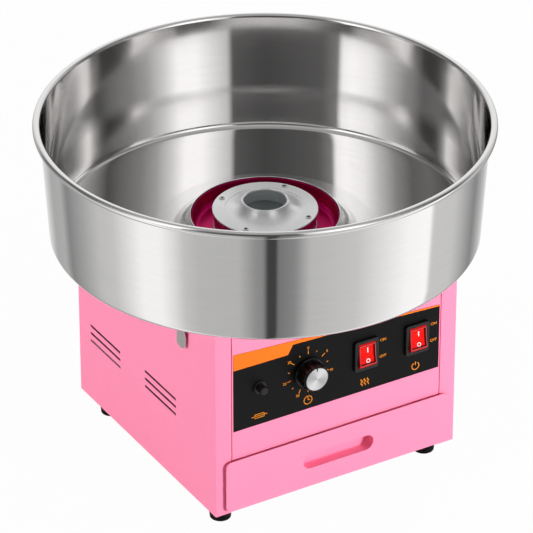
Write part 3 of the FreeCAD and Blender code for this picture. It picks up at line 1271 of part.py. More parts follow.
def nodes():
    """Every node's name with its shape."""
    side_panel = left_side_panel()
    clip = left_bowl_clip()
    clip_pad = left_clip_pad()
    return {
        "base_plate": base_plate(),
        "left_side_panel": side_panel,
        "right_side_panel": mirrored(side_panel),
        "rear_panel": rear_panel(),
        "rear_panel_screws": rear_panel_screws(),
        "top_plate": top_plate(),
        "front_panel": front_panel(),
        "divider_shelf": divider_shelf(),
        "rubber_feet": rubber_feet(),
        "foot_screws": foot_screws(),
        "drawer_runners": drawer_runners(),
        "drawer_tray": drawer_tray(),
        "drawer_front": drawer_front(),
        "drawer_pull_cup": drawer_pull_cup(),
        "control_label": control_label(),
        "fuse_holder_body": fuse_holder_body(),
        "fuse_holder_nut": fuse_holder_nut(),
        "fuse_cap": fuse_cap(),
        "glass_fuse": glass_fuse(),
        "timer_body": timer_body(),
        "timer_screws": timer_screws(),
        "timer_shaft": timer_shaft(),
        "timer_knob": timer_knob(),
        "knob_disc": knob_disc(),
        "heat_switch_body": switch_body(heat_x),
        "heat_rocker": rocker(heat_x),
        "power_switch_body": switch_body(power_x),
        "power_rocker": rocker(power_x),
        "bowl": bowl(),
        "bowl_clip_brackets": bowl_clip_brackets(),
        "left_bowl_clip": clip,
        "right_bowl_clip": opposite(clip),
        "left_clip_pad": clip_pad,
        "right_clip_pad": opposite(clip_pad),
        "burner_dish": burner_dish(),
        "dish_screws": dish_screws(),
        "head_base": head_base(),
        "head_band": head_band(),
        "head_spacers": head_spacers(),
        "head_top": head_top(),
        "head_screws": head_screws(),
        "heating_ring": heating_ring(),
        "ceramic_posts": ceramic_posts(),
        "drive_shaft": drive_shaft(),
        "slip_ring_sleeve": slip_ring_sleeve(),
        "slip_rings": slip_rings(),
        "brush_holder": brush_holder(),
        "carbon_brushes": carbon_brushes(),
        "brush_springs": brush_springs(),
        "motor_plate": motor_plate(),
        "mount_rods": mount_rods(),
        "motor_housing": motor_housing(),
        "motor_end_bell": motor_end_bell(),
        "shaft_bearings": shaft_bearings(),
        "motor_stator": motor_stator(),
        "motor_rotor": motor_rotor(),
        "cooling_fan": cooling_fan(),
        "power_inlet": power_inlet(),
        "inlet_pins": inlet_pins(),
        "terminal_block": terminal_block(),
    }


def main():
    """Write one STEP file for each node."""
    os.makedirs("parts", exist_ok=True)
    for name, shape in nodes().items():
        shape.exportStep("parts/" + name + ".step")


main()
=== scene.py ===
"""Candy floss machine: a wide spun-steel bowl round a spinner head, on a painted sheet-steel cabinet.

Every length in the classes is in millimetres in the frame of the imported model: +Z up, the floor at
Z = 0, the axis of the bowl on X = Y = 0, and the controls facing -Y.
"""

import json
import logging
import math
from dataclasses import dataclass
from enum import Enum
from typing import Optional, Sequence

import bmesh
import bpy
import numpy as np
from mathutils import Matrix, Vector


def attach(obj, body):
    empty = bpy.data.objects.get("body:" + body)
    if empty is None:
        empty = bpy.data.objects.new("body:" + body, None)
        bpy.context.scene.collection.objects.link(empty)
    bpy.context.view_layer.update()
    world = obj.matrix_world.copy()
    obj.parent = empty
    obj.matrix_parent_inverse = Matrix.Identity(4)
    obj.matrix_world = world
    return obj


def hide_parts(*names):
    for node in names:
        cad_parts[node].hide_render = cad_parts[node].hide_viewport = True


logging.basicConfig(level=logging.INFO, format="%(message)s")
log = logging.getLogger("floss_machine")

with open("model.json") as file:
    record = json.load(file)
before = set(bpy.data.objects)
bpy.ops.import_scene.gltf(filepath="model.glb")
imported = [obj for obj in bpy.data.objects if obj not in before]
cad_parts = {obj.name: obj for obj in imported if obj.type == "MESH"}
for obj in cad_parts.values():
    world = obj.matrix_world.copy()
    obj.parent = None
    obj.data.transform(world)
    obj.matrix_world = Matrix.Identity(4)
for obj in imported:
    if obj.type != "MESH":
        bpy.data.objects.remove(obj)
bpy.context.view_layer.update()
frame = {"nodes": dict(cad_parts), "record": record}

MM = 0.001
MERGE, COPY_MERGE, TINY = 2e-6, 3e-6, 1e-7  # metres: points of one corner, the same in a copy, a lost edge
FLAT = 0.3  # degrees: faces of a copy that meet at less than this are one face
SHARP, FINE_SHARP = 35.0, 30.0  # degrees: usual angles past which an edge stays sharp
FLOOR = 260.0  # level of the bowl's floor
DIAL_X, DIAL_LEVEL = -38.5, 167.0  # middle of the timer's dial
FUSE_X, HEAT_X, POWER_X = -101.5, 36.2, 103.7  # middles of the other controls, on the dial's level

Colour = tuple[float, float, float]
Piece = bpy.types.Object
Node = bpy.types.Node
Socket = bpy.types.NodeSocket


class Facing(Enum):
    """Way that a turned piece's axis points."""

    UP = "up"
    FRONT = "front"


# ---------------------------------------------------------------- surfaces


def srgb(red: int, green: int, blue: int) -> Colour:
    """Scene-linear colour of an 8-bit display colour, by the sRGB curve.

    Args:
        red: Red from 0 to 255.
        green: Green from 0 to 255.
        blue: Blue from 0 to 255.

    Returns:
        The three channels from 0 to 1.
    """
    values = np.array([red, green, blue]) / 255.0
    linear = np.where(values <= 0.04045, values / 12.92, ((values + 0.055) / 1.055) ** 2.4)
    return tuple(float(value) for value in linear)


def around(steps: int) -> np.ndarray:
    """Angles 2 pi i / steps for i from 0 to steps - 1, as one row."""
    return np.linspace(0.0, 2 * math.pi, steps, endpoint=False)[None, :]


def screw_places(radius: float, start: float, count: int) -> np.ndarray:
    """Places radius * (cos a, sin a), with a in even steps of a full turn from start degrees."""
    angles = np.radians(start + np.arange(count) * 360.0 / count)
    return radius * np.stack([np.cos(angles), np.sin(angles)], axis=-1)


def arc(centre_r: float, centre_z: float, radius: float, start: float, end: float,
        steps: int) -> np.ndarray:
    """Points of an arc: centre + radius * (cos a, sin a), with a going evenly from start to end degrees.

    Args:
        centre_r: First coordinate of the centre.
        centre_z: Second coordinate of the centre.
        radius: Radius of the arc.
        start: First angle in degrees.
        end: Last angle in degrees.
        steps: Number of points.

    Returns:
        An array of (steps, 2) points.
    """
    angles = np.radians(np.linspace(start, end, steps))
    return np.stack([centre_r + radius * np.cos(angles), centre_z + radius * np.sin(angles)], axis=-1)


def eased(corners: Sequence[Sequence[float]], reach: Sequence[float], steps: int = 5) -> np.ndarray:
    """Closed outline whose corners are eased by quadratic curves (1-t)^2 A + 2t(1-t) C + t^2 B.

    A and B lie on the two sides of corner C, at the corner's reach from it.

    Args:
        corners: Corner points in order.
        reach: How far along its sides each corner's curve reaches.
        steps: Points on each curve.

    Returns:
        An array of points.
    """
    corner = np.array(corners, dtype=float)
    far = np.array(reach, dtype=float)[:, None]
    sides = []
    for shift in (1, -1):
        way = np.roll(corner, shift, axis=0) - corner
        sides.append(corner + way / np.maximum(np.linalg.norm(way, axis=1, keepdims=True), 1e-9) * far)
    start, end = sides
    t = np.linspace(0.0, 1.0, steps)[None, :, None]
    curve = (1 - t) ** 2 * start[:, None] + 2 * t * (1 - t) * corner[:, None] + t ** 2 * end[:, None]
    return curve.reshape(-1, 2)


def loop_points(outline: np.ndarray, count: int) -> np.ndarray:
    """Evenly spaced points along a closed outline, by linear interpolation over its length.

    Args:
        outline: Points of the closed outline.
        count: Number of points wanted.

    Returns:
        An array of (count, 2) points that starts nearest to the direction of +X.
    """
    ring = np.vstack([outline, outline[:1]])
    length = np.concatenate([[0.0], np.cumsum(np.linalg.norm(np.diff(ring, axis=0), axis=1))])
    places = np.linspace(0.0, length[-1], count, endpoint=False)
    points = np.stack([np.interp(places, length, ring[:, axis]) for axis in (0, 1)], axis=-1)
    return np.roll(points, -np.argmin(np.abs(np.arctan2(points[:, 1], points[:, 0]))), axis=0)


def grid_mesh(name: str, points: np.ndarray, wrap_rows: bool = False, wrap_columns: bool = True,
              sharp: float = SHARP, outward: bool = True) -> Piece:
    """Mesh of a surface given as rows by columns of points, with u along the columns and v along the rows.

    Args:
        name: Name of the new object.
        points: Array of (rows, columns, 3) points in millimetres.
        wrap_rows: Whether the last row joins the first one.
        wrap_columns: Whether the last column joins the first one.
        sharp: Angle in degrees past which an edge stays sharp.
        outward: Whether to recalculate the normals of a closed shape.

    Returns:
        The new object, at the origin.
    """
    rows, columns = points.shape[:2]
    row, column = np.meshgrid(np.arange(rows if wrap_rows else rows - 1),
                              np.arange(columns if wrap_columns else columns - 1), indexing="ij")
    row_next, column_next = (row + 1) % rows, (column + 1) % columns
    quads = np.stack([row * columns + column, row * columns + column_next,
                      row_next * columns + column_next, row_next * columns + column], axis=-1)
    mesh = bpy.data.meshes.new(name)
    mesh.from_pydata((points.reshape(-1, 3) * MM).tolist(), [], quads.reshape(-1, 4).tolist())
    step = np.linalg.norm(np.roll(points, -1, axis=0) - points, axis=2).mean(axis=1)
    along = np.concatenate([[0.0], np.cumsum(step)]) * MM
    u = np.stack([column, column + 1, column + 1, column], axis=-1) / columns
    v = along[np.stack([row, row, row + 1, row + 1], axis=-1)]
    layer = mesh.uv_layers.new(name="surface")
    layer.data.foreach_set("uv", np.stack([u, v], axis=-1).reshape(-1))
    return placed(name, mesh, sharp, outward)


def placed(name: str, mesh: bpy.types.Mesh, sharp: float, outward: bool = True) -> Piece:
    """Merges a mesh's doubles, shades it smooth between sharp edges and links it into the scene.

    Args:
        name: Name of the new object.
        mesh: The mesh, in metres.
        sharp: Angle in degrees past which an edge stays sharp.
        outward: Whether to recalculate the normals.

    Returns:
        The new object, at the origin.
    """
    work = bmesh.new()
    work.from_mesh(mesh)
    bmesh.ops.remove_doubles(work, verts=work.verts, dist=MERGE)
    bmesh.ops.dissolve_degenerate(work, edges=work.edges, dist=TINY)
    if outward:
        bmesh.ops.recalc_face_normals(work, faces=work.faces)
    work.to_mesh(mesh)
    work.free()
    mesh.shade_smooth()
    mesh.set_sharp_from_angle(angle=math.radians(sharp))
    return linked(name, mesh)


def linked(name: str, data: bpy.types.ID) -> Piece:
    """Links a new object into the scene.

    Args:
        name: Name of the object.
        data: Its mesh, curve, camera or light.

    Returns:
        The object, at the origin.
    """
    piece = bpy.data.objects.new(name, data)
    bpy.context.scene.collection.objects.link(piece)
    return piece


def joined_pieces(name: str, parts: Sequence[Piece], seamless: bool = False) -> Piece:
    """Joins pieces into one object.

    Args:
        name: Name of the joined object.
        parts: The pieces, which are used up.
        seamless: Whether to merge the seams between them and to turn the normals outwards.

    Returns:
        The joined object.
    """
    work = bmesh.new()
    for part in parts:
        work.from_mesh(part.data)
    mesh = bpy.data.meshes.new(name)
    work.to_mesh(mesh)
    work.free()
    for part in parts:
        bpy.data.objects.remove(part)
    return placed(name, mesh, SHARP) if seamless else linked(name, mesh)


def turned(name: str, profile: np.ndarray, segments: int, facing: Facing = Facing.UP,
           centre: tuple[float, float] = (0.0, 0.0), scale: Optional[np.ndarray] = None,
           sharp: float = SHARP) -> Piece:
    """Surface of revolution: (radius cos a, radius sin a, level) for a from 0 to 360 degrees.

    Args:
        name: Name of the new object.
        profile: Closed outline as (radius, level) pairs; facing FRONT, the level is the Y coordinate.
        segments: Steps round the axis.
        facing: Way that the axis points.
        centre: Where the axis stands, as (x, y) facing UP and as (x, z) facing FRONT.
        scale: Factor on the radius for each profile point and step, for flutes and knurls.
        sharp: Angle in degrees past which an edge stays sharp.

    Returns:
        The new object.
    """
    angle = around(segments)
    radius = profile[:, :1] * (1.0 if scale is None else scale)
    across, second = centre[0] + radius * np.cos(angle), centre[1] + radius * np.sin(angle)
    level = np.broadcast_to(profile[:, 1:], across.shape)
    order = (across, second, level) if facing is Facing.UP else (across, level, second)
    return grid_mesh(name, np.stack(order, axis=-1), wrap_rows=True, sharp=sharp)


def ribbon(path: np.ndarray, width: float, closed: bool = False) -> np.ndarray:
    """Flat stroke along a path: the path moved by half the width along its normals, both ways.

    Args:
        path: Points of the path.
        width: Width of the stroke.
        closed: Whether the path closes on itself.

    Returns:
        An array of (4, points, 2) for the two edges in front and the same two behind, in turn.
    """
    line = np.vstack([path, path[:1]]) if closed else np.array(path, dtype=float)
    way = np.gradient(line, axis=0)
    if closed:
        way[0] = way[-1] = line[1] - line[-2]
    normal = np.stack([-way[:, 1], way[:, 0]], axis=-1)
    normal /= np.linalg.norm(normal, axis=1, keepdims=True)
    return np.stack([line + normal * width / 2, line - normal * width / 2])[[0, 1, 1, 0]]


def print_mesh(name: str, strokes: Sequence[np.ndarray], face: float) -> Piece:
    """Printed strokes on an upright face that looks along -Y, each a thin closed slab.

    Args:
        name: Name of the new object.
        strokes: Arrays of (4, n, 2) points, the edges in front and behind as (x, z) pairs.
        face: Y coordinate of the face that carries the print.

    Returns:
        The new object.
    """
    mesh = bpy.data.meshes.new(name)
    depth = face - np.array([0.03, 0.03, 0.01, 0.01])[:, None]
    corners, quads, base = [], [], 0
    for stroke in strokes:
        count = stroke.shape[1]
        slab = np.stack([stroke[..., 0], depth + np.zeros(count), stroke[..., 1]], axis=-1)
        corners.append(slab.reshape(-1, 3))
        step = np.arange(count - 1)
        for side in range(4):
            near, far = base + side * count + step, base + (side + 1) % 4 * count + step
            quads.append(np.stack([near, near + 1, far + 1, far], axis=-1))
        ends = base + np.arange(4) * count
        quads.append(np.stack([ends, (ends + count - 1)[::-1]]))
        base += 4 * count
    mesh.from_pydata((np.concatenate(corners) * MM).tolist(), [], np.concatenate(quads).tolist())
    return placed(name, mesh, FINE_SHARP)


def lettering(name: str, text: str, height: float, x: float, z: float, face: float) -> Piece:
    """Printed characters, centred on a place of an upright face that looks along -Y.

    Args:
        name: Name of the new object.
        text: The characters.
        height: Height of a capital letter.
        x: Middle of the text across the face.
        z: Middle of the text up the face.
        face: Y coordinate of the face that carries the print.

    Returns:
        The new object.
    """
    curve = bpy.data.curves.new(name, "FONT")
    curve.body, curve.size, curve.extrude, curve.resolution_u = text, height * 1.38, 0.01, 3
    curve.offset = 0.004 * height
    source = linked(name, curve)
    mesh = bpy.data.meshes.new_from_object(source)
    bpy.data.objects.remove(source)
    flat = np.empty(len(mesh.vertices) * 3)
    mesh.vertices.foreach_get("co", flat)
    flat = flat.reshape(-1, 3)
    middle = (flat.min(axis=0) + flat.max(axis=0)) / 2
    moved = np.stack([x + flat[:, 0] - middle[0], face - 0.02 - flat[:, 2], z + flat[:, 1] - middle[1]],
                     axis=-1)
    mesh.vertices.foreach_set("co", (moved * MM).reshape(-1))
    return placed(name, mesh, FINE_SHARP)


def dressed_copy(name: str, node: str, ease: float, sharp: float) -> Piece:
    """Merged and smooth-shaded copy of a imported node, with its edges eased by a bevel.

    Args:
        name: Name of the new object.
        node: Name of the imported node.
        ease: Width of the bevel in millimetres, or 0 for none.
        sharp: Angle in degrees past which an edge is eased, and stays sharp where there is no bevel.

    Returns:
        The new object.
    """
    mesh = frame["nodes"][node].data.copy()
    mesh.materials.clear()
    work = bmesh.new()
    work.from_mesh(mesh)
    bmesh.ops.remove_doubles(work, verts=work.verts, dist=COPY_MERGE)
    bmesh.ops.dissolve_limit(work, angle_limit=math.radians(FLAT), verts=work.verts, edges=work.edges)
    work.to_mesh(mesh)
    work.free()
    piece = placed(name, mesh, sharp, outward=False)
    if ease:
        bevel = piece.modifiers.new("eased_edges", "BEVEL")
        bevel.width, bevel.segments, bevel.limit_method = ease * MM, 2, "ANGLE"
        bevel.angle_limit, bevel.harden_normals = math.radians(sharp), True
        bevel.use_clamp_overlap = True
    return piece


def fitted(piece: Piece, body: str, slot: str, finish: str, *nodes: str) -> None:
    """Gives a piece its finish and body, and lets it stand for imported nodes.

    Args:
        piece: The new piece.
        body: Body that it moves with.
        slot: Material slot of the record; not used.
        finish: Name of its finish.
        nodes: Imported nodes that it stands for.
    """
    piece.data.materials.clear()
    piece.data.materials.append(Finishes.made[finish])
    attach(piece, body)
    if nodes:
        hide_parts(*nodes)
    log.info("%s: %d faces on %s", piece.name, len(piece.data.polygons), body)


def redressed(name: str, node: str, body: str, slot: str, finish: str, ease: float = 0.0,
              sharp: float = FINE_SHARP) -> None:
    """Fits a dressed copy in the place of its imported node."""
    fitted(dressed_copy(name, node, ease, sharp), body, slot, finish, node)


# ---------------------------------------------------------------- shared effects


def grey(value: float) -> tuple[float, float, float, float]:
    """Opaque grey of a scene-linear value."""
    return (value, value, value, 1.0)


class Bench:
    """Adds nodes to one node tree and wires them."""

    def __init__(self, tree: bpy.types.NodeTree) -> None:
        """Keeps the tree that the nodes go into."""
        self.tree = tree

    def feed(self, socket: Socket, value: object) -> None:
        """Gives an input a plain value, or wires it to a socket or to a node's first output.

        Args:
            socket: The input.
            value: What it is given.
        """
        if isinstance(value, Node):
            value = value.outputs[0]
        if isinstance(value, Socket):
            self.tree.links.new(value, socket)
        else:
            socket.default_value = value

    def dress(self, node: Node, *inputs: object, **named: object) -> Node:
        """Sets a node's attributes and feeds its inputs.

        Args:
            node: The node.
            inputs: What its first inputs are given, in order.
            named: Attributes, and inputs under their name with _ for a space.

        Returns:
            The same node.
        """
        for key, value in named.items():
            if hasattr(node, key):
                setattr(node, key, value)
            else:
                self.feed(node.inputs[key.replace("_", " ")], value)
        for socket, value in zip(node.inputs, inputs):
            self.feed(socket, value)
        return node

    def add(self, kind: str, *inputs: object, **named: object) -> Node:
        """Adds a node of a kind, given without its ShaderNode prefix, and dresses it."""
        return self.dress(self.tree.nodes.new("ShaderNode" + kind), *inputs, **named)

    def math(self, operation: str, *inputs: object, clamp: bool = False) -> Node:
        """Adds a Math node on up to three values."""
        return self.add("Math", *inputs, operation=operation, use_clamp=clamp)

    def mix(self, share: object, first: object, second: object) -> Socket:
        """Adds a mix of two colours: first * (1 - share) + second * share.

        Args:
            share: Share of the second colour.
            first: First colour.
            second: Second colour.

        Returns:
            The socket of the mixed colour.
        """
        node = self.add("Mix", share, data_type="RGBA")
        self.feed(node.inputs[6], first)
        self.feed(node.inputs[7], second)
        return node.outputs[2]


def new_group(name: str, inputs: dict[str, float], outputs: Sequence[str]) -> tuple[Bench, Node, Node]:
    """Starts a shader node group with named number inputs and named outputs.

    Args:
        name: Name of the group.
        inputs: Each input's name and value; the vector input Place is always there.
        outputs: Names of the number outputs.

    Returns:
        A bench on the group's tree, its input node and its output node.
    """
    tree = bpy.data.node_groups.new(name, "ShaderNodeTree")
    tree.interface.new_socket("Place", in_out="INPUT", socket_type="NodeSocketVector")
    for label, value in inputs.items():
        socket = tree.interface.new_socket(label, in_out="INPUT", socket_type="NodeSocketFloat")
        socket.default_value = value
    for label in outputs:
        tree.interface.new_socket(label, in_out="OUTPUT", socket_type="NodeSocketFloat")
    return Bench(tree), tree.nodes.new("NodeGroupInput"), tree.nodes.new("NodeGroupOutput")


class Effects:
    """Node groups that several finishes share."""

    def __init__(self) -> None:
        """Builds each group once."""
        self.grain, self.brushing, self.handling = self._grain(), self._brushing(), self._handling()

    @staticmethod
    def _grain() -> bpy.types.NodeTree:
        """Skin of paint and plastic: two sizes of noise added up.

        Returns:
            The group: Height is fine + 0.4 coarse noise, Tone a slow drift round 0.
        """
        bench, given, out = new_group("surface_grain", {"Fine": 900.0, "Coarse": 60.0}, ("Height", "Tone"))
        place = given.outputs["Place"]
        fine = bench.add("TexNoise", place, Detail=3.0, Scale=given.outputs["Fine"])
        coarse = bench.add("TexNoise", place, Detail=2.0, Scale=given.outputs["Coarse"])
        bench.dress(out, Height=bench.math("MULTIPLY_ADD", coarse, 0.4, fine),
                    Tone=bench.math("SUBTRACT", coarse, 0.5))
        return bench.tree

    @staticmethod
    def _brushing() -> bpy.types.NodeTree:
        """Brush lines along u: noise read at (Along * u, Across * v), so that it is long and thin.

        Returns:
            The group: Height is the fine lines, Tone a broader band of the same lines round 0.
        """
        bench, given, out = new_group("brush_lines", {"Along": 6.0, "Across": 1500.0, "Broad": 220.0},
                                      ("Height", "Tone"))
        parts = bench.add("SeparateXYZ", given.outputs["Place"])
        turn = bench.math("MULTIPLY", parts, 2 * math.pi)
        x, y = (bench.math("MULTIPLY", bench.math(kind, turn), given.outputs["Along"])
                for kind in ("COSINE", "SINE"))
        fine, broad = (bench.add("TexNoise", bench.add("CombineXYZ", x, y, across), Scale=1.0, Detail=3.0)
                       for across in (bench.math("MULTIPLY", parts.outputs[1], given.outputs[label])
                                      for label in ("Across", "Broad")))
        bench.dress(out, Height=fine, Tone=bench.math("SUBTRACT", broad, 0.5))
        return bench.tree

    @staticmethod
    def _handling() -> bpy.types.NodeTree:
        """Faint smudges of handling: soft noise cut off below a level.

        Returns:
            The group: Mask is 0 on clean places and rises to 1 in the smudges.
        """
        bench, given, out = new_group("handling_marks", {"Size": 14.0, "Clean": 0.55}, ("Mask",))
        noise = bench.add("TexNoise", given.outputs["Place"], Detail=4.0, Roughness=0.6,
                          Scale=given.outputs["Size"])
        bench.dress(out, Mask=bench.add("MapRange", noise, given.outputs["Clean"], 0.85))
        return bench.tree


# ---------------------------------------------------------------- finishes


@dataclass(frozen=True)
class Finish:
    """Look of a surface with a grain that sits in object space."""

    name: str
    colour: Colour
    shade: float = 0.9
    roughness: float = 0.45
    spread: float = 0.06
    metallic: float = 0.0
    fine: float = 900.0
    coarse: float = 60.0
    bump: float = 0.04
    bump_depth: float = 0.2
    coat: float = 0.0
    coat_roughness: float = 0.12
    specular: float = 0.5
    smudge: float = 0.08

    def material(self, effects: Effects) -> bpy.types.Material:
        """Builds the material.

        Args:
            effects: The shared node groups.

        Returns:
            The material.
        """
        made, bench, shader = self._start()
        place = bench.add("TexCoord").outputs["Object"]
        grain = bench.add("Group", place, node_tree=effects.grain, Fine=self.fine, Coarse=self.coarse)
        self._surface(bench, shader, grain, bench.add("Group", place, node_tree=effects.handling))
        return made

    def _start(self) -> tuple[bpy.types.Material, Bench, Node]:
        """Makes the material and sets the plain values of its shader.

        Returns:
            The material, a bench on its nodes and its Principled shader.
        """
        made = bpy.data.materials.new(self.name)
        made.use_nodes = True
        bench = Bench(made.node_tree)
        shader = bench.dress(made.node_tree.nodes["Principled BSDF"], Metallic=self.metallic,
                             Coat_Weight=self.coat, Coat_Roughness=self.coat_roughness,
                             Specular_IOR_Level=self.specular)
        return made, bench, shader

    def _surface(self, bench: Bench, shader: Node, grain: Node, smudges: Node) -> None:
        """Wires colour, roughness and bump from the masks.

        Args:
            bench: Bench on the material's nodes.
            shader: The Principled shader.
            grain: Group with a Tone round 0 and a Height.
            smudges: Group with the mask of the smudges.
        """
        tone = grain.outputs["Tone"]
        dark = tuple(channel * self.shade for channel in self.colour)
        colour = bench.mix(bench.add("MapRange", tone, -0.25, 0.25), (*dark, 1.0), (*self.colour, 1.0))
        rough = bench.math("MULTIPLY_ADD", tone, self.spread * 2, self.roughness)
        worn = bench.math("MULTIPLY_ADD", smudges, self.smudge, rough, clamp=True)
        bench.dress(shader, Base_Color=colour, Roughness=worn)
        if self.bump:
            bench.dress(shader, Normal=bench.add("Bump", Strength=self.bump, Distance=self.bump_depth * MM,
                                                 Height=grain.outputs["Height"]))


@dataclass(frozen=True)
class CardFinish(Finish):
    """Metal that only reflections show, a painted reflection: it is clear to rays from below it and fades
    out towards its edge.
    """

    fade_start: float = 215.0
    fade_end: float = 243.0

    def material(self, effects: Effects) -> bpy.types.Material:
        """Builds the material: it shows where the ray comes from above, less and less past fade_start.

        Args:
            effects: The shared node groups.

        Returns:
            The material.
        """
        made = super().material(effects)
        bench, nodes = Bench(made.node_tree), made.node_tree.nodes
        sight = bench.add("NewGeometry")
        way = bench.add("SeparateXYZ", sight.outputs["Incoming"])
        over = bench.math("GREATER_THAN", way.outputs[2], 0.0)
        flat = bench.add("VectorMath", sight.outputs["Position"], (1.0, 1.0, 0.0), operation="MULTIPLY")
        reach = bench.add("VectorMath", flat, operation="LENGTH").outputs["Value"]
        fade = bench.add("MapRange", reach, self.fade_end * MM, self.fade_start * MM)
        shown = bench.add("MixShader", bench.math("MULTIPLY", over, fade), bench.add("BsdfTransparent"),
                          nodes["Principled BSDF"])
        bench.dress(nodes["Material Output"], shown)
        return made


@dataclass(frozen=True)
class BrushedFinish(Finish):
    """Metal with brush lines along the u of its surface map, a highlight drawn out across them, and where
    asked painted highlight and painted shade in sectors round the axis.
    """

    anisotropy: float = 0.8
    across: float = 1500.0
    broad: float = 220.0
    # painted highlight: strength of the light and dark sectors painted into the colour, and the angle where
    # they start
    painted_highlight_strength: float = 0.0
    painted_highlight_start: float = 1.2

    def material(self, effects: Effects) -> bpy.types.Material:
        """Builds the material.

        Args:
            effects: The shared node groups.

        Returns:
            The material.
        """
        made, bench, shader = self._start()
        coordinates = bench.add("TexCoord")
        surface_map = coordinates.outputs["UV"]
        lines = bench.add("Group", surface_map, node_tree=effects.brushing, Across=self.across,
                          Broad=self.broad)
        self._surface(bench, shader, lines,
                      bench.add("Group", coordinates.outputs["Object"], node_tree=effects.handling))
        bench.dress(shader, Anisotropic=self.anisotropy, Anisotropic_Rotation=0.25,
                    Tangent=bench.add("Tangent", direction_type="UV_MAP", uv_map="surface"))
        # painted highlight and painted shade in sectors, where asked
        if self.painted_highlight_strength:
            self._painted_light_sectors(bench, shader, surface_map)
        return made

    def _painted_light_sectors(self, bench: Bench, shader: Node, place: Socket) -> None:
        """Paints highlight and shade into the base colour in sectors: 1 - s * (1 + cos(2 turn)) / 2, with s
        the strength of the painted highlight and turn along u.

        Args:
            bench: Bench on the material's nodes.
            shader: The Principled shader.
            place: Socket with the surface map.
        """
        parts = bench.add("SeparateXYZ", place)
        wave = bench.math("COSINE", bench.math("MULTIPLY_ADD", parts, 4 * math.pi, self.painted_highlight_start))
        tone = bench.math("MULTIPLY_ADD", wave, -self.painted_highlight_strength / 2, 1 - self.painted_highlight_strength / 2)
        plain = shader.inputs["Base Color"].links[0].from_socket
        bench.dress(shader, Base_Color=bench.add("VectorMath", plain, operation="SCALE", Scale=tone))


@dataclass(frozen=True)
class ClearFinish(Finish):
    """Clear plastic or glass that light passes through."""

    transmission: float = 0.95
    bending: float = 1.49

    def material(self, effects: Effects) -> bpy.types.Material:
        """Builds the material.

        Args:
            effects: The shared node groups.

        Returns:
            The material.
        """
        made = super().material(effects)
        Bench(made.node_tree).dress(made.node_tree.nodes["Principled BSDF"],
                                    Transmission_Weight=self.transmission, IOR=self.bending)
        return made


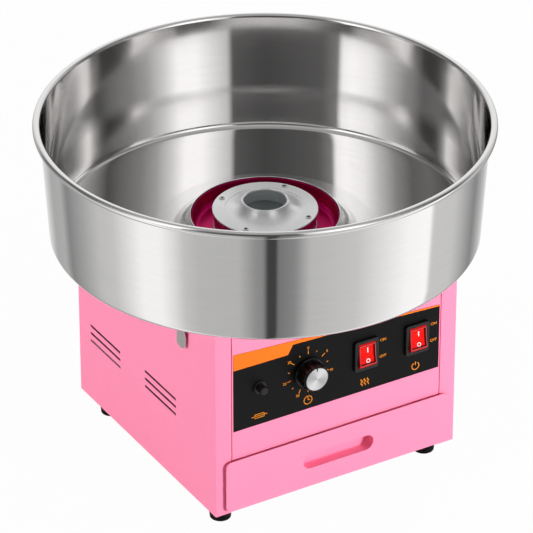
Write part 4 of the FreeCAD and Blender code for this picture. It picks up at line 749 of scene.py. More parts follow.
class Finishes:
    """All finishes of the machine, each made once and kept under its name."""

    SPUN_STEEL: Colour = (0.80, 0.79, 0.785)
    KINDS: tuple[Finish, ...] = (
        Finish("pink_powder_coat", srgb(255, 146, 181), shade=0.98, roughness=0.42, fine=1400.0,
               coarse=30.0, specular=0.25),
        Finish("galvanised_sheet", srgb(176, 178, 180), shade=0.8, roughness=0.42, metallic=1.0,
               fine=300.0, coarse=90.0),
        BrushedFinish("spun_bowl_steel", SPUN_STEEL, shade=0.97, roughness=0.075, spread=0.012,
                      metallic=1.0, bump=0.003, smudge=0.015, anisotropy=0.6),
        BrushedFinish("collar_steel", SPUN_STEEL, shade=0.97, roughness=0.2, spread=0.01, metallic=1.0,
                      bump=0.0, smudge=0.01, anisotropy=0.5),
        # painted reflection: flat steel that only reflections show, on the studio card over the spinner
        CardFinish("painted_reflection_card", SPUN_STEEL, shade=0.97, roughness=0.08, spread=0.01, metallic=1.0,
                   bump=0.0, smudge=0.0),
        Finish("bright_zinc", (0.72, 0.72, 0.70), roughness=0.26, metallic=1.0, fine=1200.0),
        Finish("satin_clip_steel", (0.74, 0.73, 0.70), roughness=0.4, metallic=1.0),
        BrushedFinish("turned_aluminium", (0.95, 0.95, 0.96), shade=0.98, roughness=0.32, spread=0.01,
                      metallic=0.6, across=2600.0, broad=500.0, bump=0.0, anisotropy=0.9, smudge=0.02),
        Finish("drawn_aluminium", (0.56, 0.6, 0.6), shade=0.95, roughness=0.5, spread=0.01, metallic=0.2,
               bump=0.0, smudge=0.02),
        # painted_screw_recess_shade: painted shade in the cross recesses of the head's screws
        Finish("painted_screw_recess_shade", srgb(70, 58, 50), roughness=0.6, bump=0.0, specular=0.1),
        BrushedFinish("crimson_anodised", srgb(196, 0, 94), shade=0.96, roughness=0.32, spread=0.01,
                      metallic=0.8, across=1200.0, bump=0.0, anisotropy=0.3, smudge=0.02, specular=0.05),
        Finish("foot_rubber", srgb(8, 7, 7), shade=0.7, roughness=0.6, bump=0.1, fine=700.0,
               specular=0.12),
        Finish("label_film", srgb(18, 18, 18), roughness=0.5, bump=0.03, fine=1600.0, smudge=0.05,
               specular=0.1),
        Finish("label_orange", srgb(255, 122, 32), shade=0.97, roughness=0.5, bump=0.02, specular=0.15),
        Finish("lettering_orange", srgb(246, 148, 32), shade=0.97, roughness=0.5, bump=0.0, specular=0.15),
        Finish("lettering_white", srgb(245, 240, 238), shade=0.97, bump=0.0),
        Finish("black_moulding", srgb(16, 15, 15), shade=0.8, roughness=0.3, bump=0.03, fine=1500.0,
               specular=0.4),
        Finish("knob_moulding", srgb(13, 12, 12), shade=0.8, roughness=0.24, bump=0.03, specular=0.35),
        Finish("red_moulding", srgb(230, 14, 8), shade=0.95, roughness=0.26, bump=0.01, specular=0.16),
        # key_trim: pale band of painted highlight along the key's frame, where its glossy rounding would
        # catch the light
        Finish("key_trim", srgb(176, 66, 70), roughness=0.2, bump=0.0),
        # key_recess: painted shade on the walls of the key's sunk panel, where shade falls
        Finish("key_recess", srgb(84, 14, 16), roughness=0.4, bump=0.0, specular=0.2),
        # spun_disc has painted highlight and painted shade in sectors round its middle
        BrushedFinish("spun_disc", (0.90, 0.90, 0.90), shade=0.95, roughness=0.3, metallic=1.0,
                      across=5200.0, broad=1200.0, anisotropy=0.85, painted_highlight_strength=0.35),
        Finish("timer_plate", srgb(170, 168, 158), shade=0.8, roughness=0.38, metallic=1.0),
        Finish("ground_steel", (0.58, 0.58, 0.58), shade=0.85, roughness=0.28, metallic=1.0, fine=1300.0),
        Finish("turned_brass", srgb(205, 168, 92), shade=0.85, roughness=0.26, metallic=1.0),
        Finish("phenolic", srgb(112, 74, 46), shade=0.75, roughness=0.5, coarse=180.0),
        Finish("graphite", srgb(44, 44, 46), shade=0.75, roughness=0.48, metallic=0.3),
        Finish("heater_alloy", srgb(134, 122, 112), shade=0.7, roughness=0.5, metallic=0.9, coarse=160.0),
        Finish("unglazed_ceramic", srgb(232, 226, 214), shade=0.92, roughness=0.62, bump=0.1),
        Finish("motor_enamel", srgb(52, 55, 58), shade=0.85, roughness=0.4, bump=0.08, coat=0.2),
        Finish("varnished_copper", srgb(184, 108, 62), shade=0.7, roughness=0.34, metallic=0.9,
               coarse=400.0),
        Finish("laminations", srgb(120, 120, 122), shade=0.75, roughness=0.4, metallic=1.0, coarse=500.0),
        ClearFinish("clear_glass", (0.95, 0.97, 0.96), shade=0.99, roughness=0.03, bump=0.0, smudge=0.02),
    )

    BY_SLOT: dict[str, str] = {
        "pink_paint": "pink_powder_coat", "galvanised_sheet": "galvanised_sheet",
        "bowl_steel": "bright_zinc", "zinc_steel": "bright_zinc", "clip_steel": "satin_clip_steel",
        "spun_aluminium": "bright_zinc", "band_steel": "bright_zinc", "disc_aluminium": "bright_zinc",
        "crimson_enamel": "black_moulding", "black_plastic": "black_moulding",
        "red_plastic": "red_moulding", "black_rubber": "foot_rubber", "label_print": "label_film",
        "timer_case": "timer_plate", "shaft_steel": "ground_steel", "brass": "turned_brass",
        "phenolic": "phenolic", "carbon": "graphite", "heater_alloy": "heater_alloy",
        "ceramic": "unglazed_ceramic", "motor_paint": "motor_enamel",
        "winding_copper": "varnished_copper", "lamination_steel": "laminations",
        "fuse_glass": "clear_glass",
    }

    made: dict[str, bpy.types.Material] = {}

    @classmethod
    def make(cls) -> None:
        """Builds the shared effects and every material."""
        effects = Effects()
        cls.made.update((kind.name, kind.material(effects)) for kind in cls.KINDS)

    @classmethod
    def dress_packed_nodes(cls) -> None:
        """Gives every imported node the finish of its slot; pieces that replace a node bring their own."""
        for entry in frame["record"]["subparts"]:
            packed = frame["nodes"][entry["node"]]
            packed.data.materials.clear()
            packed.data.materials.append(cls.made[cls.BY_SLOT[entry["material_slot"]]])


# ---------------------------------------------------------------- bowl and dish


@dataclass
class Bowl:
    """Spun bowl with a raised collar, a flat floor, a leaning wall and a rolled rim, and its brackets.

    The collar is a piece of its own, so that its finish can differ; the two meet on the flat floor.
    """

    floor: float = FLOOR
    sheet: float = 0.8
    rim_radius: float = 260.0
    height: float = 144.0
    bead: float = 4.4
    slant: float = 7.5
    corner: float = 6.5
    opening: float = 84.3
    collar_height: float = 20.2
    collar_spread: float = 22.7
    lip: float = 0.6
    seam: float = 127.0
    bracket_ease: float = 0.25
    segments: int = 384
    card_radius: float = 243.0
    card_rise: float = 43.0
    card_segments: int = 96

    def collar_profile(self) -> np.ndarray:
        """Closed outline of the raised collar, from its lip out to the seam and back.

        Returns:
            An array of (radius, level) points.
        """
        sweep = 2 * math.atan2(self.collar_height, self.collar_spread)
        big = self.collar_spread / math.sin(sweep)
        foot, middle = self.opening + self.collar_spread, self.floor + big
        end = -90 - math.degrees(sweep)
        under = arc(foot, middle, big, end, -90, 24)
        edge = under[0]
        lip_angle = math.degrees(math.atan2(edge[1] - middle, edge[0] - foot))
        return np.vstack([arc(edge[0] + self.lip, edge[1], self.lip, lip_angle + 100, lip_angle - 130, 14),
                          under[1:], [(self.seam, self.floor), (self.seam, self.floor + self.sheet)],
                          arc(foot, middle, big - self.sheet, -90, end + 3, 24)])

    def shell_profile(self) -> np.ndarray:
        """Closed outline of the rest: under side outwards, outer wall, bead, inner wall and floor.

        Returns:
            An array of (radius, level) points.
        """
        floor, upper, level = self.floor, self.floor + self.sheet, self.floor + self.corner
        top = self.rim_radius - 2 * self.bead + self.sheet
        inner_top, foot = top - self.sheet, self.slant * 0.9
        bead_level = floor + self.height - self.bead
        lean = math.degrees(math.atan2(self.slant, bead_level - level))
        middle, low = top - self.slant - self.corner, level + (bead_level - level) * 0.1
        return np.vstack([
            np.linspace((self.seam, floor), (middle - 12, floor), 5),
            arc(middle, level, self.corner, -90, -lean, 14),
            np.linspace((top - foot, low), (top, bead_level - 3), 8)[:-1],
            arc(self.rim_radius - self.bead, bead_level, self.bead, -144, 180, 34),
            np.linspace((inner_top, bead_level), (inner_top - foot, low), 8)[1:],
            arc(middle, level, self.corner - self.sheet, -lean, -90, 14),
            np.linspace((middle - 12, upper), (self.seam, upper), 5),
        ])

    def painted_reflection_card(self) -> None:
        """Flat studio disc over the spinner that only shiny metal above it sees, a painted reflection of
        flat steel in the bowl's upper wall.
        """
        angle, reach = around(self.card_segments), np.array([[0.5], [self.card_radius]])
        flat = np.full((2, self.card_segments), self.floor + self.card_rise)
        points = np.stack([reach * np.cos(angle), reach * np.sin(angle), flat], axis=-1)
        card = grid_mesh("painted_reflection_card", points)
        card.data.materials.append(Finishes.made["painted_reflection_card"])
        for rays in ("camera", "diffuse", "transmission", "volume_scatter", "shadow"):
            setattr(card, "visible_" + rays, False)

    def build(self) -> None:
        """Builds the bowl, the studio card that paints a reflection, and the brackets under the bowl's
        floor.
        """
        shell = turned("spun_bowl", self.shell_profile(), self.segments, sharp=50.0)
        fitted(shell, "bowl_group", "bowl_steel", "spun_bowl_steel", "bowl")
        collar = turned("spun_collar", self.collar_profile(), self.segments, sharp=50.0)
        fitted(collar, "bowl_group", "bowl_steel", "collar_steel")
        self.painted_reflection_card()
        redressed("clip_brackets", "bowl_clip_brackets", "bowl_group", "zinc_steel", "bright_zinc",
                  self.bracket_ease)


@dataclass
class BowlClips:
    """Two hinged clips with rubber pads that hold the bowl on the side walls."""

    ease: float = 0.3
    pad_ease: float = 0.6

    def build(self) -> None:
        """Builds both clips and their pads."""
        for side in ("left", "right"):
            redressed(side + "_clip_lever", side + "_bowl_clip", side + "_clip", "clip_steel",
                      "satin_clip_steel", self.ease)
            redressed(side + "_grip_pad", side + "_clip_pad", side + "_clip", "black_rubber",
                      "foot_rubber", self.pad_ease)


@dataclass
class PanScrews:
    """Set of pan-head screws with a cross recess, standing upright at given places."""

    radius: float
    height: float
    places: np.ndarray
    level: float
    recess: float = 0.9
    shank: float = 2.0
    depth: float = 9.0
    rings: int = 18
    segments: int = 48
    first_turn: float = 0.5
    next_turn: float = 1.1

    def build(self, name: str) -> Piece:
        """Builds all the screws as one piece.

        Each head is level = height * sqrt(1 - 0.75 s^2) over the share s of its radius, less a cross of
        two smooth troughs.

        Args:
            name: Name of the new object.

        Returns:
            The piece.
        """
        shank = self.shank / self.radius
        share = np.concatenate([np.linspace(0.0, 1.0, self.rings), [1.0, shank, shank, 0.0]])[:, None]
        angle = around(self.segments)
        x, y = self.radius * share * np.cos(angle), self.radius * share * np.sin(angle)
        dome = self.height * np.sqrt(1 - 0.75 * np.minimum(share, 1.0) ** 2)
        near = np.minimum(np.abs(x), np.abs(y))
        cross = np.clip((0.16 * self.radius - near) / (0.08 * self.radius), 0, 1)
        level = dome - self.recess * cross * np.clip((0.62 - share) / 0.12, 0, 1)
        level[self.rings:] = np.array([0.0, 0.0, -self.depth, -self.depth])[:, None]
        heads = [grid_mesh(name, np.stack([x + place[0], y + place[1], level + self.level], axis=-1))
                 for place in self.places]
        return joined_pieces(name, heads)

    def crosses(self, name: str) -> Piece:
        """Painted shade in each screw's cross recess: two dark bars, turned a little more from screw to
        screw.

        Args:
            name: Name of the new object.

        Returns:
            The piece.
        """
        reach, width = 0.66 * self.radius, 0.36 * self.radius
        bars = [ribbon(np.array([(-a, -b), (a, b)]), width) for a, b in ((reach, 0.0), (0.0, reach))]
        level = self.level + self.height - np.array([0.02, 0.02, 0.32, 0.32])[:, None]
        parts = []
        for index, place in enumerate(self.places):
            angle = self.first_turn + self.next_turn * index
            turn = np.array([[math.cos(angle), math.sin(angle)], [-math.sin(angle), math.cos(angle)]])
            for bar in bars:
                points = np.dstack([bar @ turn + place, level + np.zeros(bar.shape[1])])
                parts.append(grid_mesh(name, points, wrap_rows=True, wrap_columns=False))
        return joined_pieces(name, parts)


@dataclass
class BurnerDish:
    """Anodised dish in the bowl's opening, with the screws that hold it."""

    floor: float = FLOOR
    sheet: float = 1.0
    radius: float = 83.7
    height: float = 19.4
    corner: float = 8.0
    hub_hole: float = 16.0
    screw_circle: float = 48.0
    screw_start: float = 22.0
    screw_count: int = 3
    screw_radius: float = 4.0
    screw_height: float = 2.0
    segments: int = 192

    def profile(self) -> np.ndarray:
        """Closed outline of the dish: under side, outer wall, rounded edge, inner wall and floor.

        Returns:
            An array of (radius, level) points.
        """
        middle, level, half = self.radius - self.corner, self.floor + self.corner, self.sheet / 2
        under = np.linspace((self.hub_hole, self.floor), (middle - 4, self.floor), 12)
        return np.vstack([under, arc(middle, level, self.corner, -90, 0, 10),
                          arc(self.radius - half, self.floor + self.height - half, half, 0, 180, 9),
                          arc(middle, level, self.corner - self.sheet, 0, -90, 10),
                          under[::-1] + [0.0, self.sheet]])

    def build(self) -> None:
        """Builds the dish and its screws."""
        dish = turned("burner_dish_skin", self.profile(), self.segments)
        fitted(dish, "cabinet", "crimson_enamel", "crimson_anodised", "burner_dish")
        places = screw_places(self.screw_circle, self.screw_start, self.screw_count)
        screws = PanScrews(self.screw_radius, self.screw_height, places, self.floor + self.sheet)
        fitted(screws.build("dish_screw_heads"), "cabinet", "zinc_steel", "bright_zinc", "dish_screws")


# ---------------------------------------------------------------- spinner head


@dataclass
class SpinnerHead:
    """Turned head: base, slotted band, and a top with a flange, a flared cone and a rolled lip."""

    base_bottom: float = 265.0
    base_radius: float = 59.0
    base_plate: float = 2.0
    hub_radius: float = 10.0
    hub_length: float = 13.0
    bore: float = 4.02
    band_top: float = 286.0
    flange_radius: float = 60.0
    flange: float = 1.6
    groove_radius: float = 46.2
    groove_width: float = 1.2
    groove_depth: float = 0.7
    cone_top: float = 27.2
    cone_rise: float = 10.0
    lip: float = 1.6
    throat: float = 25.4
    throat_sheet: float = 1.0
    throat_drop: float = 2.5
    throat_rise: float = 11.2
    screw_circle: float = 53.5
    screw_start: float = 35.5
    screw_count: int = 4
    screw_radius: float = 3.4
    screw_height: float = 1.4
    cup_foot: float = 29.0
    cup_top: float = 33.0
    cup_height: float = 13.0
    cup_sheet: float = 1.2
    segments: int = 192
    inner_segments: int = 128

    def top_profile(self) -> np.ndarray:
        """Closed outline of the top: flange, groove, hollow cone, lip and under side.

        Returns:
            An array of (radius, level) points.
        """
        top, rim = self.band_top + self.flange, self.flange_radius
        groove = top - self.groove_depth
        foot = self.groove_radius - self.groove_width
        run = foot - self.cone_top
        sweep = 2 * math.atan2(self.cone_rise, run)
        outer, face = run / math.sin(sweep), math.degrees(sweep)
        cone = arc(foot, groove + outer, outer, -90, -90 - face, 28)
        under = arc(foot, groove + outer, outer + self.flange, -90 - face, -90, 28)
        tip = (cone[-1] + under[0]) / 2 + [-self.lip / 2, self.lip / 2]
        lip_end = 360 - math.degrees(math.acos((self.throat - self.throat_sheet - tip[0]) / self.lip))
        lip = arc(tip[0], tip[1], self.lip, 65 - face / 2, lip_end, 20)
        return np.vstack([[(foot, groove), (self.groove_radius - 0.2, groove)],
                          np.linspace((self.groove_radius, top), (rim - 0.35, top), 8),
                          [(rim - 0.35, top), (rim, top - 0.35), (rim, self.band_top + 0.3),
                           (rim - 0.3, self.band_top),
                           (self.groove_radius + self.groove_width, self.band_top)],
                          under[::-1][:-2], lip[::-1], cone[::-1][2:-1]])

    def throat_profile(self) -> np.ndarray:
        """Closed outline of the throat's tube, with eased ends.

        Returns:
            An array of (radius, level) points.
        """
        inner, low = self.throat - self.throat_sheet, self.band_top - self.throat_drop
        high = self.band_top + self.throat_rise
        return eased([(self.throat, high), (self.throat, low), (inner, low), (inner, high)],
                     (0.1, 0.3, 0.3, 0.1))

    def base_profile(self) -> np.ndarray:
        """Closed outline of the base: hub, plate and the cup that stands on it.

        Returns:
            An array of (radius, level) points.
        """
        low, plate = self.base_bottom, self.base_bottom + self.base_plate
        end, rim = low - self.hub_length, plate + self.cup_height
        return eased([(self.bore, end), (self.hub_radius, end), (self.hub_radius, low),
                      (self.base_radius, low), (self.base_radius, plate),
                      (self.cup_foot + self.cup_sheet, plate), (self.cup_top + self.cup_sheet, rim),
                      (self.cup_top, rim), (self.cup_foot, plate), (self.bore, plate)],
                     (0.2, 0.6, 0.8, 0.5, 0.5, 0.4, 0.5, 0.5, 2.0, 0.2))

    def build(self) -> None:
        """Builds the visible pieces of the head."""
        metal = "spun_aluminium"
        top = turned("turned_head_top", self.top_profile(), self.segments, sharp=40.0)
        fitted(top, "spinner", metal, "turned_aluminium", "head_top")
        throat = turned("turned_throat", self.throat_profile(), self.inner_segments)
        fitted(throat, "spinner", metal, "drawn_aluminium")
        base = turned("turned_head_base", self.base_profile(), self.inner_segments)
        fitted(base, "spinner", metal, "drawn_aluminium", "head_base")
        redressed("slotted_band", "head_band", "spinner", "band_steel", "bright_zinc")
        places = screw_places(self.screw_circle, self.screw_start, self.screw_count)
        screws = PanScrews(self.screw_radius, self.screw_height, places, self.band_top + self.flange,
                           recess=0.8, depth=14.0)
        fitted(screws.build("head_screw_set"), "spinner", "zinc_steel", "bright_zinc", "head_screws")
        # dark crosses of painted shade in the screws' recesses
        fitted(screws.crosses("head_screw_recess_painted_shade"), "spinner", "zinc_steel", "painted_screw_recess_shade")


# ---------------------------------------------------------------- cabinet


@dataclass
class Cabinet:
    """Painted sheet-steel box with its feet and rear fittings."""

    ease: float = 0.25
    inlet_ease: float = 0.5
    foot_height: float = 12.0
    foot_top: float = 13.0
    foot_bottom: float = 12.0
    foot_hollow: float = 6.0
    foot_hollow_radius: float = 4.3
    foot_bore: float = 2.0
    foot_segments: int = 64
    foot_places: tuple[tuple[float, float], ...] = ((-143, -142), (128, -142), (-143, 112), (128, 112))

    def build(self) -> None:
        """Builds the panels, the feet and the rear fittings."""
        for node in ("left_side_panel", "right_side_panel", "front_panel", "rear_panel", "base_plate"):
            redressed("painted_" + node, node, "cabinet", "pink_paint", "pink_powder_coat", self.ease)
        redressed("inlet_housing", "power_inlet", "cabinet", "black_plastic", "black_moulding",
                  self.inlet_ease)
        self.feet()

    def feet(self) -> None:
        """Builds the four tapered feet, each hollow under its screw."""
        top, bore, hollow = self.foot_height, self.foot_bore, self.foot_hollow_radius
        outline = eased([(bore, top), (self.foot_top, top), (self.foot_bottom, 0.0), (hollow, 0.0),
                         (hollow, self.foot_hollow), (bore, self.foot_hollow)],
                        (0.1, 0.8, 1.4, 0.5, 0.3, 0.1))
        feet = [turned("foot", outline, self.foot_segments, centre=place) for place in self.foot_places]
        fitted(joined_pieces("moulded_feet", feet), "cabinet", "black_rubber", "foot_rubber", "rubber_feet")


@dataclass
class Drawer:
    """Drawer front with a finger slot, the cup behind it and the tray."""

    width: float = 293.0
    bottom: float = 16.0
    top: float = 81.8
    back: float = -161.3
    sheet: float = 1.2
    corner: float = 8.0
    slot_level: float = 49.5
    slot_width: float = 92.5
    slot_height: float = 19.0
    cup_depth: float = 12.0
    cup_sheet: float = 1.0
    tray_ease: float = 0.25
    count: int = 240

    def outline(self) -> np.ndarray:
        """Outline of the front, with eased corners.

        Returns:
            An array of (count, 2) points round (0, 0).
        """
        half, tall = self.width / 2, (self.top - self.bottom) / 2
        corners = [(half, -tall), (half, tall), (-half, tall), (-half, -tall)]
        return loop_points(eased(corners, [self.corner] * 4, 16), self.count)

    def stadium(self) -> np.ndarray:
        """Outline of the slot: two half circles of radius height / 2 joined by straight sides.

        Returns:
            An array of (count, 2) points round (0, 0), matched to the outline of the front.
        """
        run, radius = (self.slot_width - self.slot_height) / 2, self.slot_height / 2
        halves = [arc(run, 0.0, radius, -90, 90, 40), arc(-run, 0.0, radius, 90, 270, 40)]
        return loop_points(np.vstack(halves), self.count)

    def front(self) -> Piece:
        """Builds the front: its outline and the slot's, each moved towards its middle by an inset.

        Returns:
            The new object.
        """
        face = self.back - self.sheet
        outer = (self.outline(), np.array([0.0, (self.top + self.bottom) / 2]))
        slot = (self.stadium(), np.array([0.0, self.slot_level]))
        rows = [(outer, inset, depth) for inset, depth in (
            (0.0, self.back), (0.0, face + 0.5), (0.2, face + 0.15), (0.5, face), (0.8, face), (3.0, face))]
        rows += [(slot, inset, depth) for inset, depth in (
            (-3.0, face), (-0.9, face), (-0.6, face), (-0.2, face + 0.2), (0.0, face + 0.7),
            (0.0, self.back))]
        rings = []
        for (line, centre), inset, depth in rows:
            moved = centre + line - line / np.linalg.norm(line, axis=1, keepdims=True) * inset
            rings.append(np.insert(moved, 1, depth, axis=1))
        return grid_mesh("drawer_front_plate", np.array(rings), wrap_rows=True, sharp=50.0)

    def cup(self) -> Piece:
        """Pressed cup: the slot's outline carried inwards and closed by a floor with a rounded edge.

        Returns:
            The new object.
        """
        inner, deep = self.back, self.back + self.cup_depth
        line, run = self.stadium(), (self.slot_width - self.slot_height) / 2
        spine = np.stack([np.clip(line[:, 0], -run, run), np.zeros(self.count)], axis=-1)
        wall, under = self.cup_sheet / (self.slot_height / 2), deep + self.cup_sheet
        rows = [(1.0, inner), (1.0, deep - 2.5), (0.97, deep - 1.0), (0.85, deep - 0.1), (0.5, deep),
                (0.0, deep), (0.0, under), (0.6, under), (0.97 + wall, under - 0.4),
                (1 + wall, under - 2), (1 + wall, inner), (1.0, inner)]
        rings = [np.insert([0.0, self.slot_level] + spine + (line - spine) * share, 1, depth, axis=1)
                 for share, depth in rows]
        return grid_mesh("pressed_cup", np.array(rings), wrap_rows=True, sharp=50.0)

    def build(self) -> None:
        """Builds the front, the cup and the tray."""
        fitted(self.front(), "drawer", "pink_paint", "pink_powder_coat", "drawer_front")
        fitted(self.cup(), "drawer", "pink_paint", "pink_powder_coat", "drawer_pull_cup")
        redressed("painted_tray", "drawer_tray", "drawer", "pink_paint", "pink_powder_coat",
                  self.tray_ease)


# ---------------------------------------------------------------- controls


@dataclass
class ControlLabel:
    """Printed sheet with an orange band, a dial scale, ON and OFF, and plain signs under the controls."""

    left: float = -134.8
    right: float = 134.8
    left_top: float = 218.0
    right_top: float = 200.5
    face: float = -158.5
    level: float = DIAL_LEVEL
    sign_level: float = 129.5
    ticks: int = 14
    minutes: int = 5
    number_height: float = 3.4
    number_reach: tuple[float, float] = (31.2, 30.8)
    word_height: float = 3.8
    word_shift: float = 23.6
    word_rises: tuple[tuple[str, float], ...] = (("ON", 11.0), ("OFF", -10.5))

    def band(self) -> np.ndarray:
        """Orange band: deep on the left, then a step up to a strip that thins out to the right.

        Returns:
            The upper and lower edge of the band, in front and behind, as (4, n, 2) points.
        """
        x = np.array([self.left, -64.9, -58.4, 0.0, self.right])
        top = np.interp(x, [self.left, self.right], [self.left_top, self.right_top])
        low = top - np.array([20.4, 16.6, 4.9, 3.2, 1.8])
        return np.stack([np.stack([x, edge], axis=-1) for edge in (top, low, low, top)])

    def scale(self) -> list[np.ndarray]:
        """Ticks round the dial, along (cos a, sin a): a long one at each number, short ones between.

        Returns:
            The strokes.
        """
        strokes = []
        for step in range(self.ticks):
            angle = math.radians(90 - step * 360 / self.ticks)
            reach = (24.6, 26.6) if step % 2 else (22.8, 27.6)
            path = np.outer(reach, (math.cos(angle), math.sin(angle))) + [DIAL_X, self.level]
            strokes.append(ribbon(path, 0.9))
        return strokes

    def signs(self) -> list[np.ndarray]:
        """Plain signs: a fuse, a clock, three heat waves x = 1.1 sin(1.35 z) and a power mark.

        Returns:
            The strokes.
        """
        rise = np.linspace(-4.4, 4.4, 24)
        box = eased([(-6, -2.4), (6, -2.4), (6, 2.4), (-6, 2.4)], [0.6] * 4)
        signs = {
            FUSE_X: [(box, 0.8, True), ([(-10.0, 0.0), (10.0, 0.0)], 0.8, False)],
            DIAL_X: [(arc(0.0, 0.0, 5.2, 0, 350, 40), 0.9, True), ([(0.0, -0.4), (0.0, 3.6)], 0.8, False),
                     ([(-0.4, 0.0), (2.8, 0.0)], 0.8, False)],
            HEAT_X: [(np.stack([shift + 1.1 * np.sin(rise * 1.35), rise], axis=-1), 1.0, False)
                     for shift in (-4.2, 0.0, 4.2)],
            POWER_X: [(arc(0.0, -0.5, 4.6, 122, 418, 40), 1.0, False),
                      ([(0.0, 0.6), (0.0, 5.4)], 1.0, False)],
        }
        return [ribbon(np.array(path) + [x, self.sign_level], width, closed)
                for x, strokes in signs.items() for path, width, closed in strokes]

    def build(self) -> None:
        """Builds the sheet and everything printed on it."""
        redressed("label_sheet", "control_label", "cabinet", "label_print", "label_film")
        band = print_mesh("label_band", [self.band()], self.face)
        fitted(band, "cabinet", "label_print", "label_orange")
        scale = print_mesh("dial_scale", self.scale() + self.signs(), self.face)
        fitted(scale, "cabinet", "label_print", "lettering_orange")
        texts = []
        for step in range(self.ticks // 2):
            angle, number = math.radians(90 - step * 720 / self.ticks), str(self.minutes * step)
            x = DIAL_X + self.number_reach[0] * math.cos(angle)
            z = self.level + self.number_reach[1] * math.sin(angle)
            texts.append(("dial_number_" + number, number, self.number_height, x, z))
        for place, x in (("heat_", HEAT_X), ("power_", POWER_X)):
            for word, rise in self.word_rises:
                texts.append((place + word.lower(), word, self.word_height, x + self.word_shift,
                              self.level + rise))
        for text in texts:
            fitted(lettering(*text, self.face), "cabinet", "label_print", "lettering_orange")


@dataclass
class TimerKnob:
    """Fluted knob with a skirt, a crown and a spun disc with a pointer notch."""

    x: float = DIAL_X
    level: float = DIAL_LEVEL
    skirt_back: float = -160.4
    skirt: float = 2.2
    skirt_radius: float = 18.5
    bore: float = 3.02
    bore_depth: float = 6.0
    grip: float = 14.0
    radius: float = 16.4
    flutes: int = 12
    flute_radius: float = 3.4
    flute_depth: float = 1.5
    crown_radius: float = 15.0
    crown: float = 1.6
    disc_radius: float = 14.0
    disc_sheet: float = 0.8
    notch_width: float = 1.8
    notch_length: float = 4.2
    segments: int = 288

    def flute_scale(self) -> np.ndarray:
        """Share of the radius left by the flutes at each step.

        On the ray at angle d from a flute's middle the flute's circle begins at
        c cos d - sqrt(rho^2 - c^2 sin^2 d), with c the distance of its centre and rho its radius.

        Returns:
            One factor for each step round the knob, as one row.
        """
        pitch = 2 * math.pi / self.flutes
        off = (around(self.segments) + pitch / 2) % pitch - pitch / 2
        centre = self.radius + self.flute_radius - self.flute_depth
        under = self.flute_radius ** 2 - (centre * np.sin(off)) ** 2
        cut = np.where(under > 0, centre * np.cos(off) - np.sqrt(np.maximum(under, 0)), self.radius)
        return np.minimum(cut, self.radius) / self.radius

    def build(self) -> None:
        """Builds the knob, whose rows are (radius, level, share of the flutes), and its disc."""
        back, grip_back = self.skirt_back, self.skirt_back - self.skirt
        top = grip_back - self.grip
        face = top - self.crown
        skirt, grip, crown = self.skirt_radius, self.radius, self.crown_radius
        floor, deep = face + self.disc_sheet, face + self.bore_depth
        rows = np.array([
            (self.bore, back, 0), (skirt - 0.6, back, 0), (skirt, back - 0.6, 0),
            (skirt, grip_back + 0.6, 0), (skirt - 0.6, grip_back, 0), (grip + 0.2, grip_back, 0),
            (grip, grip_back - 0.2, 1), (grip, top + 0.9, 1), (grip - 0.3, top + 0.3, 1),
            (grip - 1.0, top, 0.8), (crown, top - 0.3, 0.1), (crown, face + 0.4, 0),
            (crown - 0.2, face + 0.1, 0), (crown - 0.5, face, 0), (self.disc_radius + 0.15, face + 0.1, 0),
            (self.disc_radius + 0.02, floor, 0), (0.0, floor, 0), (0.0, deep, 0), (self.bore, deep, 0)])
        scale = 1.0 + (self.flute_scale() - 1.0) * rows[:, 2:]
        knob = turned("fluted_knob", rows[:, :2], self.segments, Facing.FRONT, (self.x, self.level), scale,
                      sharp=38)
        fitted(knob, "timer_dial", "black_plastic", "knob_moulding", "timer_knob")
        self.disc(face)

    def disc(self, face: float) -> None:
        """Builds the disc, whose rim draws in at the notch, in front of the dark floor of the notch.

        Args:
            face: Y coordinate of the knob's face.
        """
        edge, back, radius = face + 0.12, face + self.disc_sheet - 0.02, self.disc_radius
        rows = np.array([(0.0, edge), (4.0, edge), (8.0, edge), (radius - 1.0, edge),
                         (radius - 0.3, edge + 0.05), (radius - 0.02, edge + 0.3), (radius - 0.02, back),
                         (0.0, back)])
        angle = around(self.segments)
        inside = (radius * np.abs(np.cos(angle)) < self.notch_width / 2) & (np.sin(angle) > 0)
        drawn = np.minimum(rows[:, :1], np.where(inside, radius - self.notch_length, radius))
        scale = np.divide(drawn, rows[:, :1], out=np.ones_like(drawn), where=rows[:, :1] > 0)
        disc = turned("spun_knob_disc", rows, self.segments, Facing.FRONT, (self.x, self.level), scale)
        fitted(disc, "timer_dial", "disc_aluminium", "spun_disc", "knob_disc")


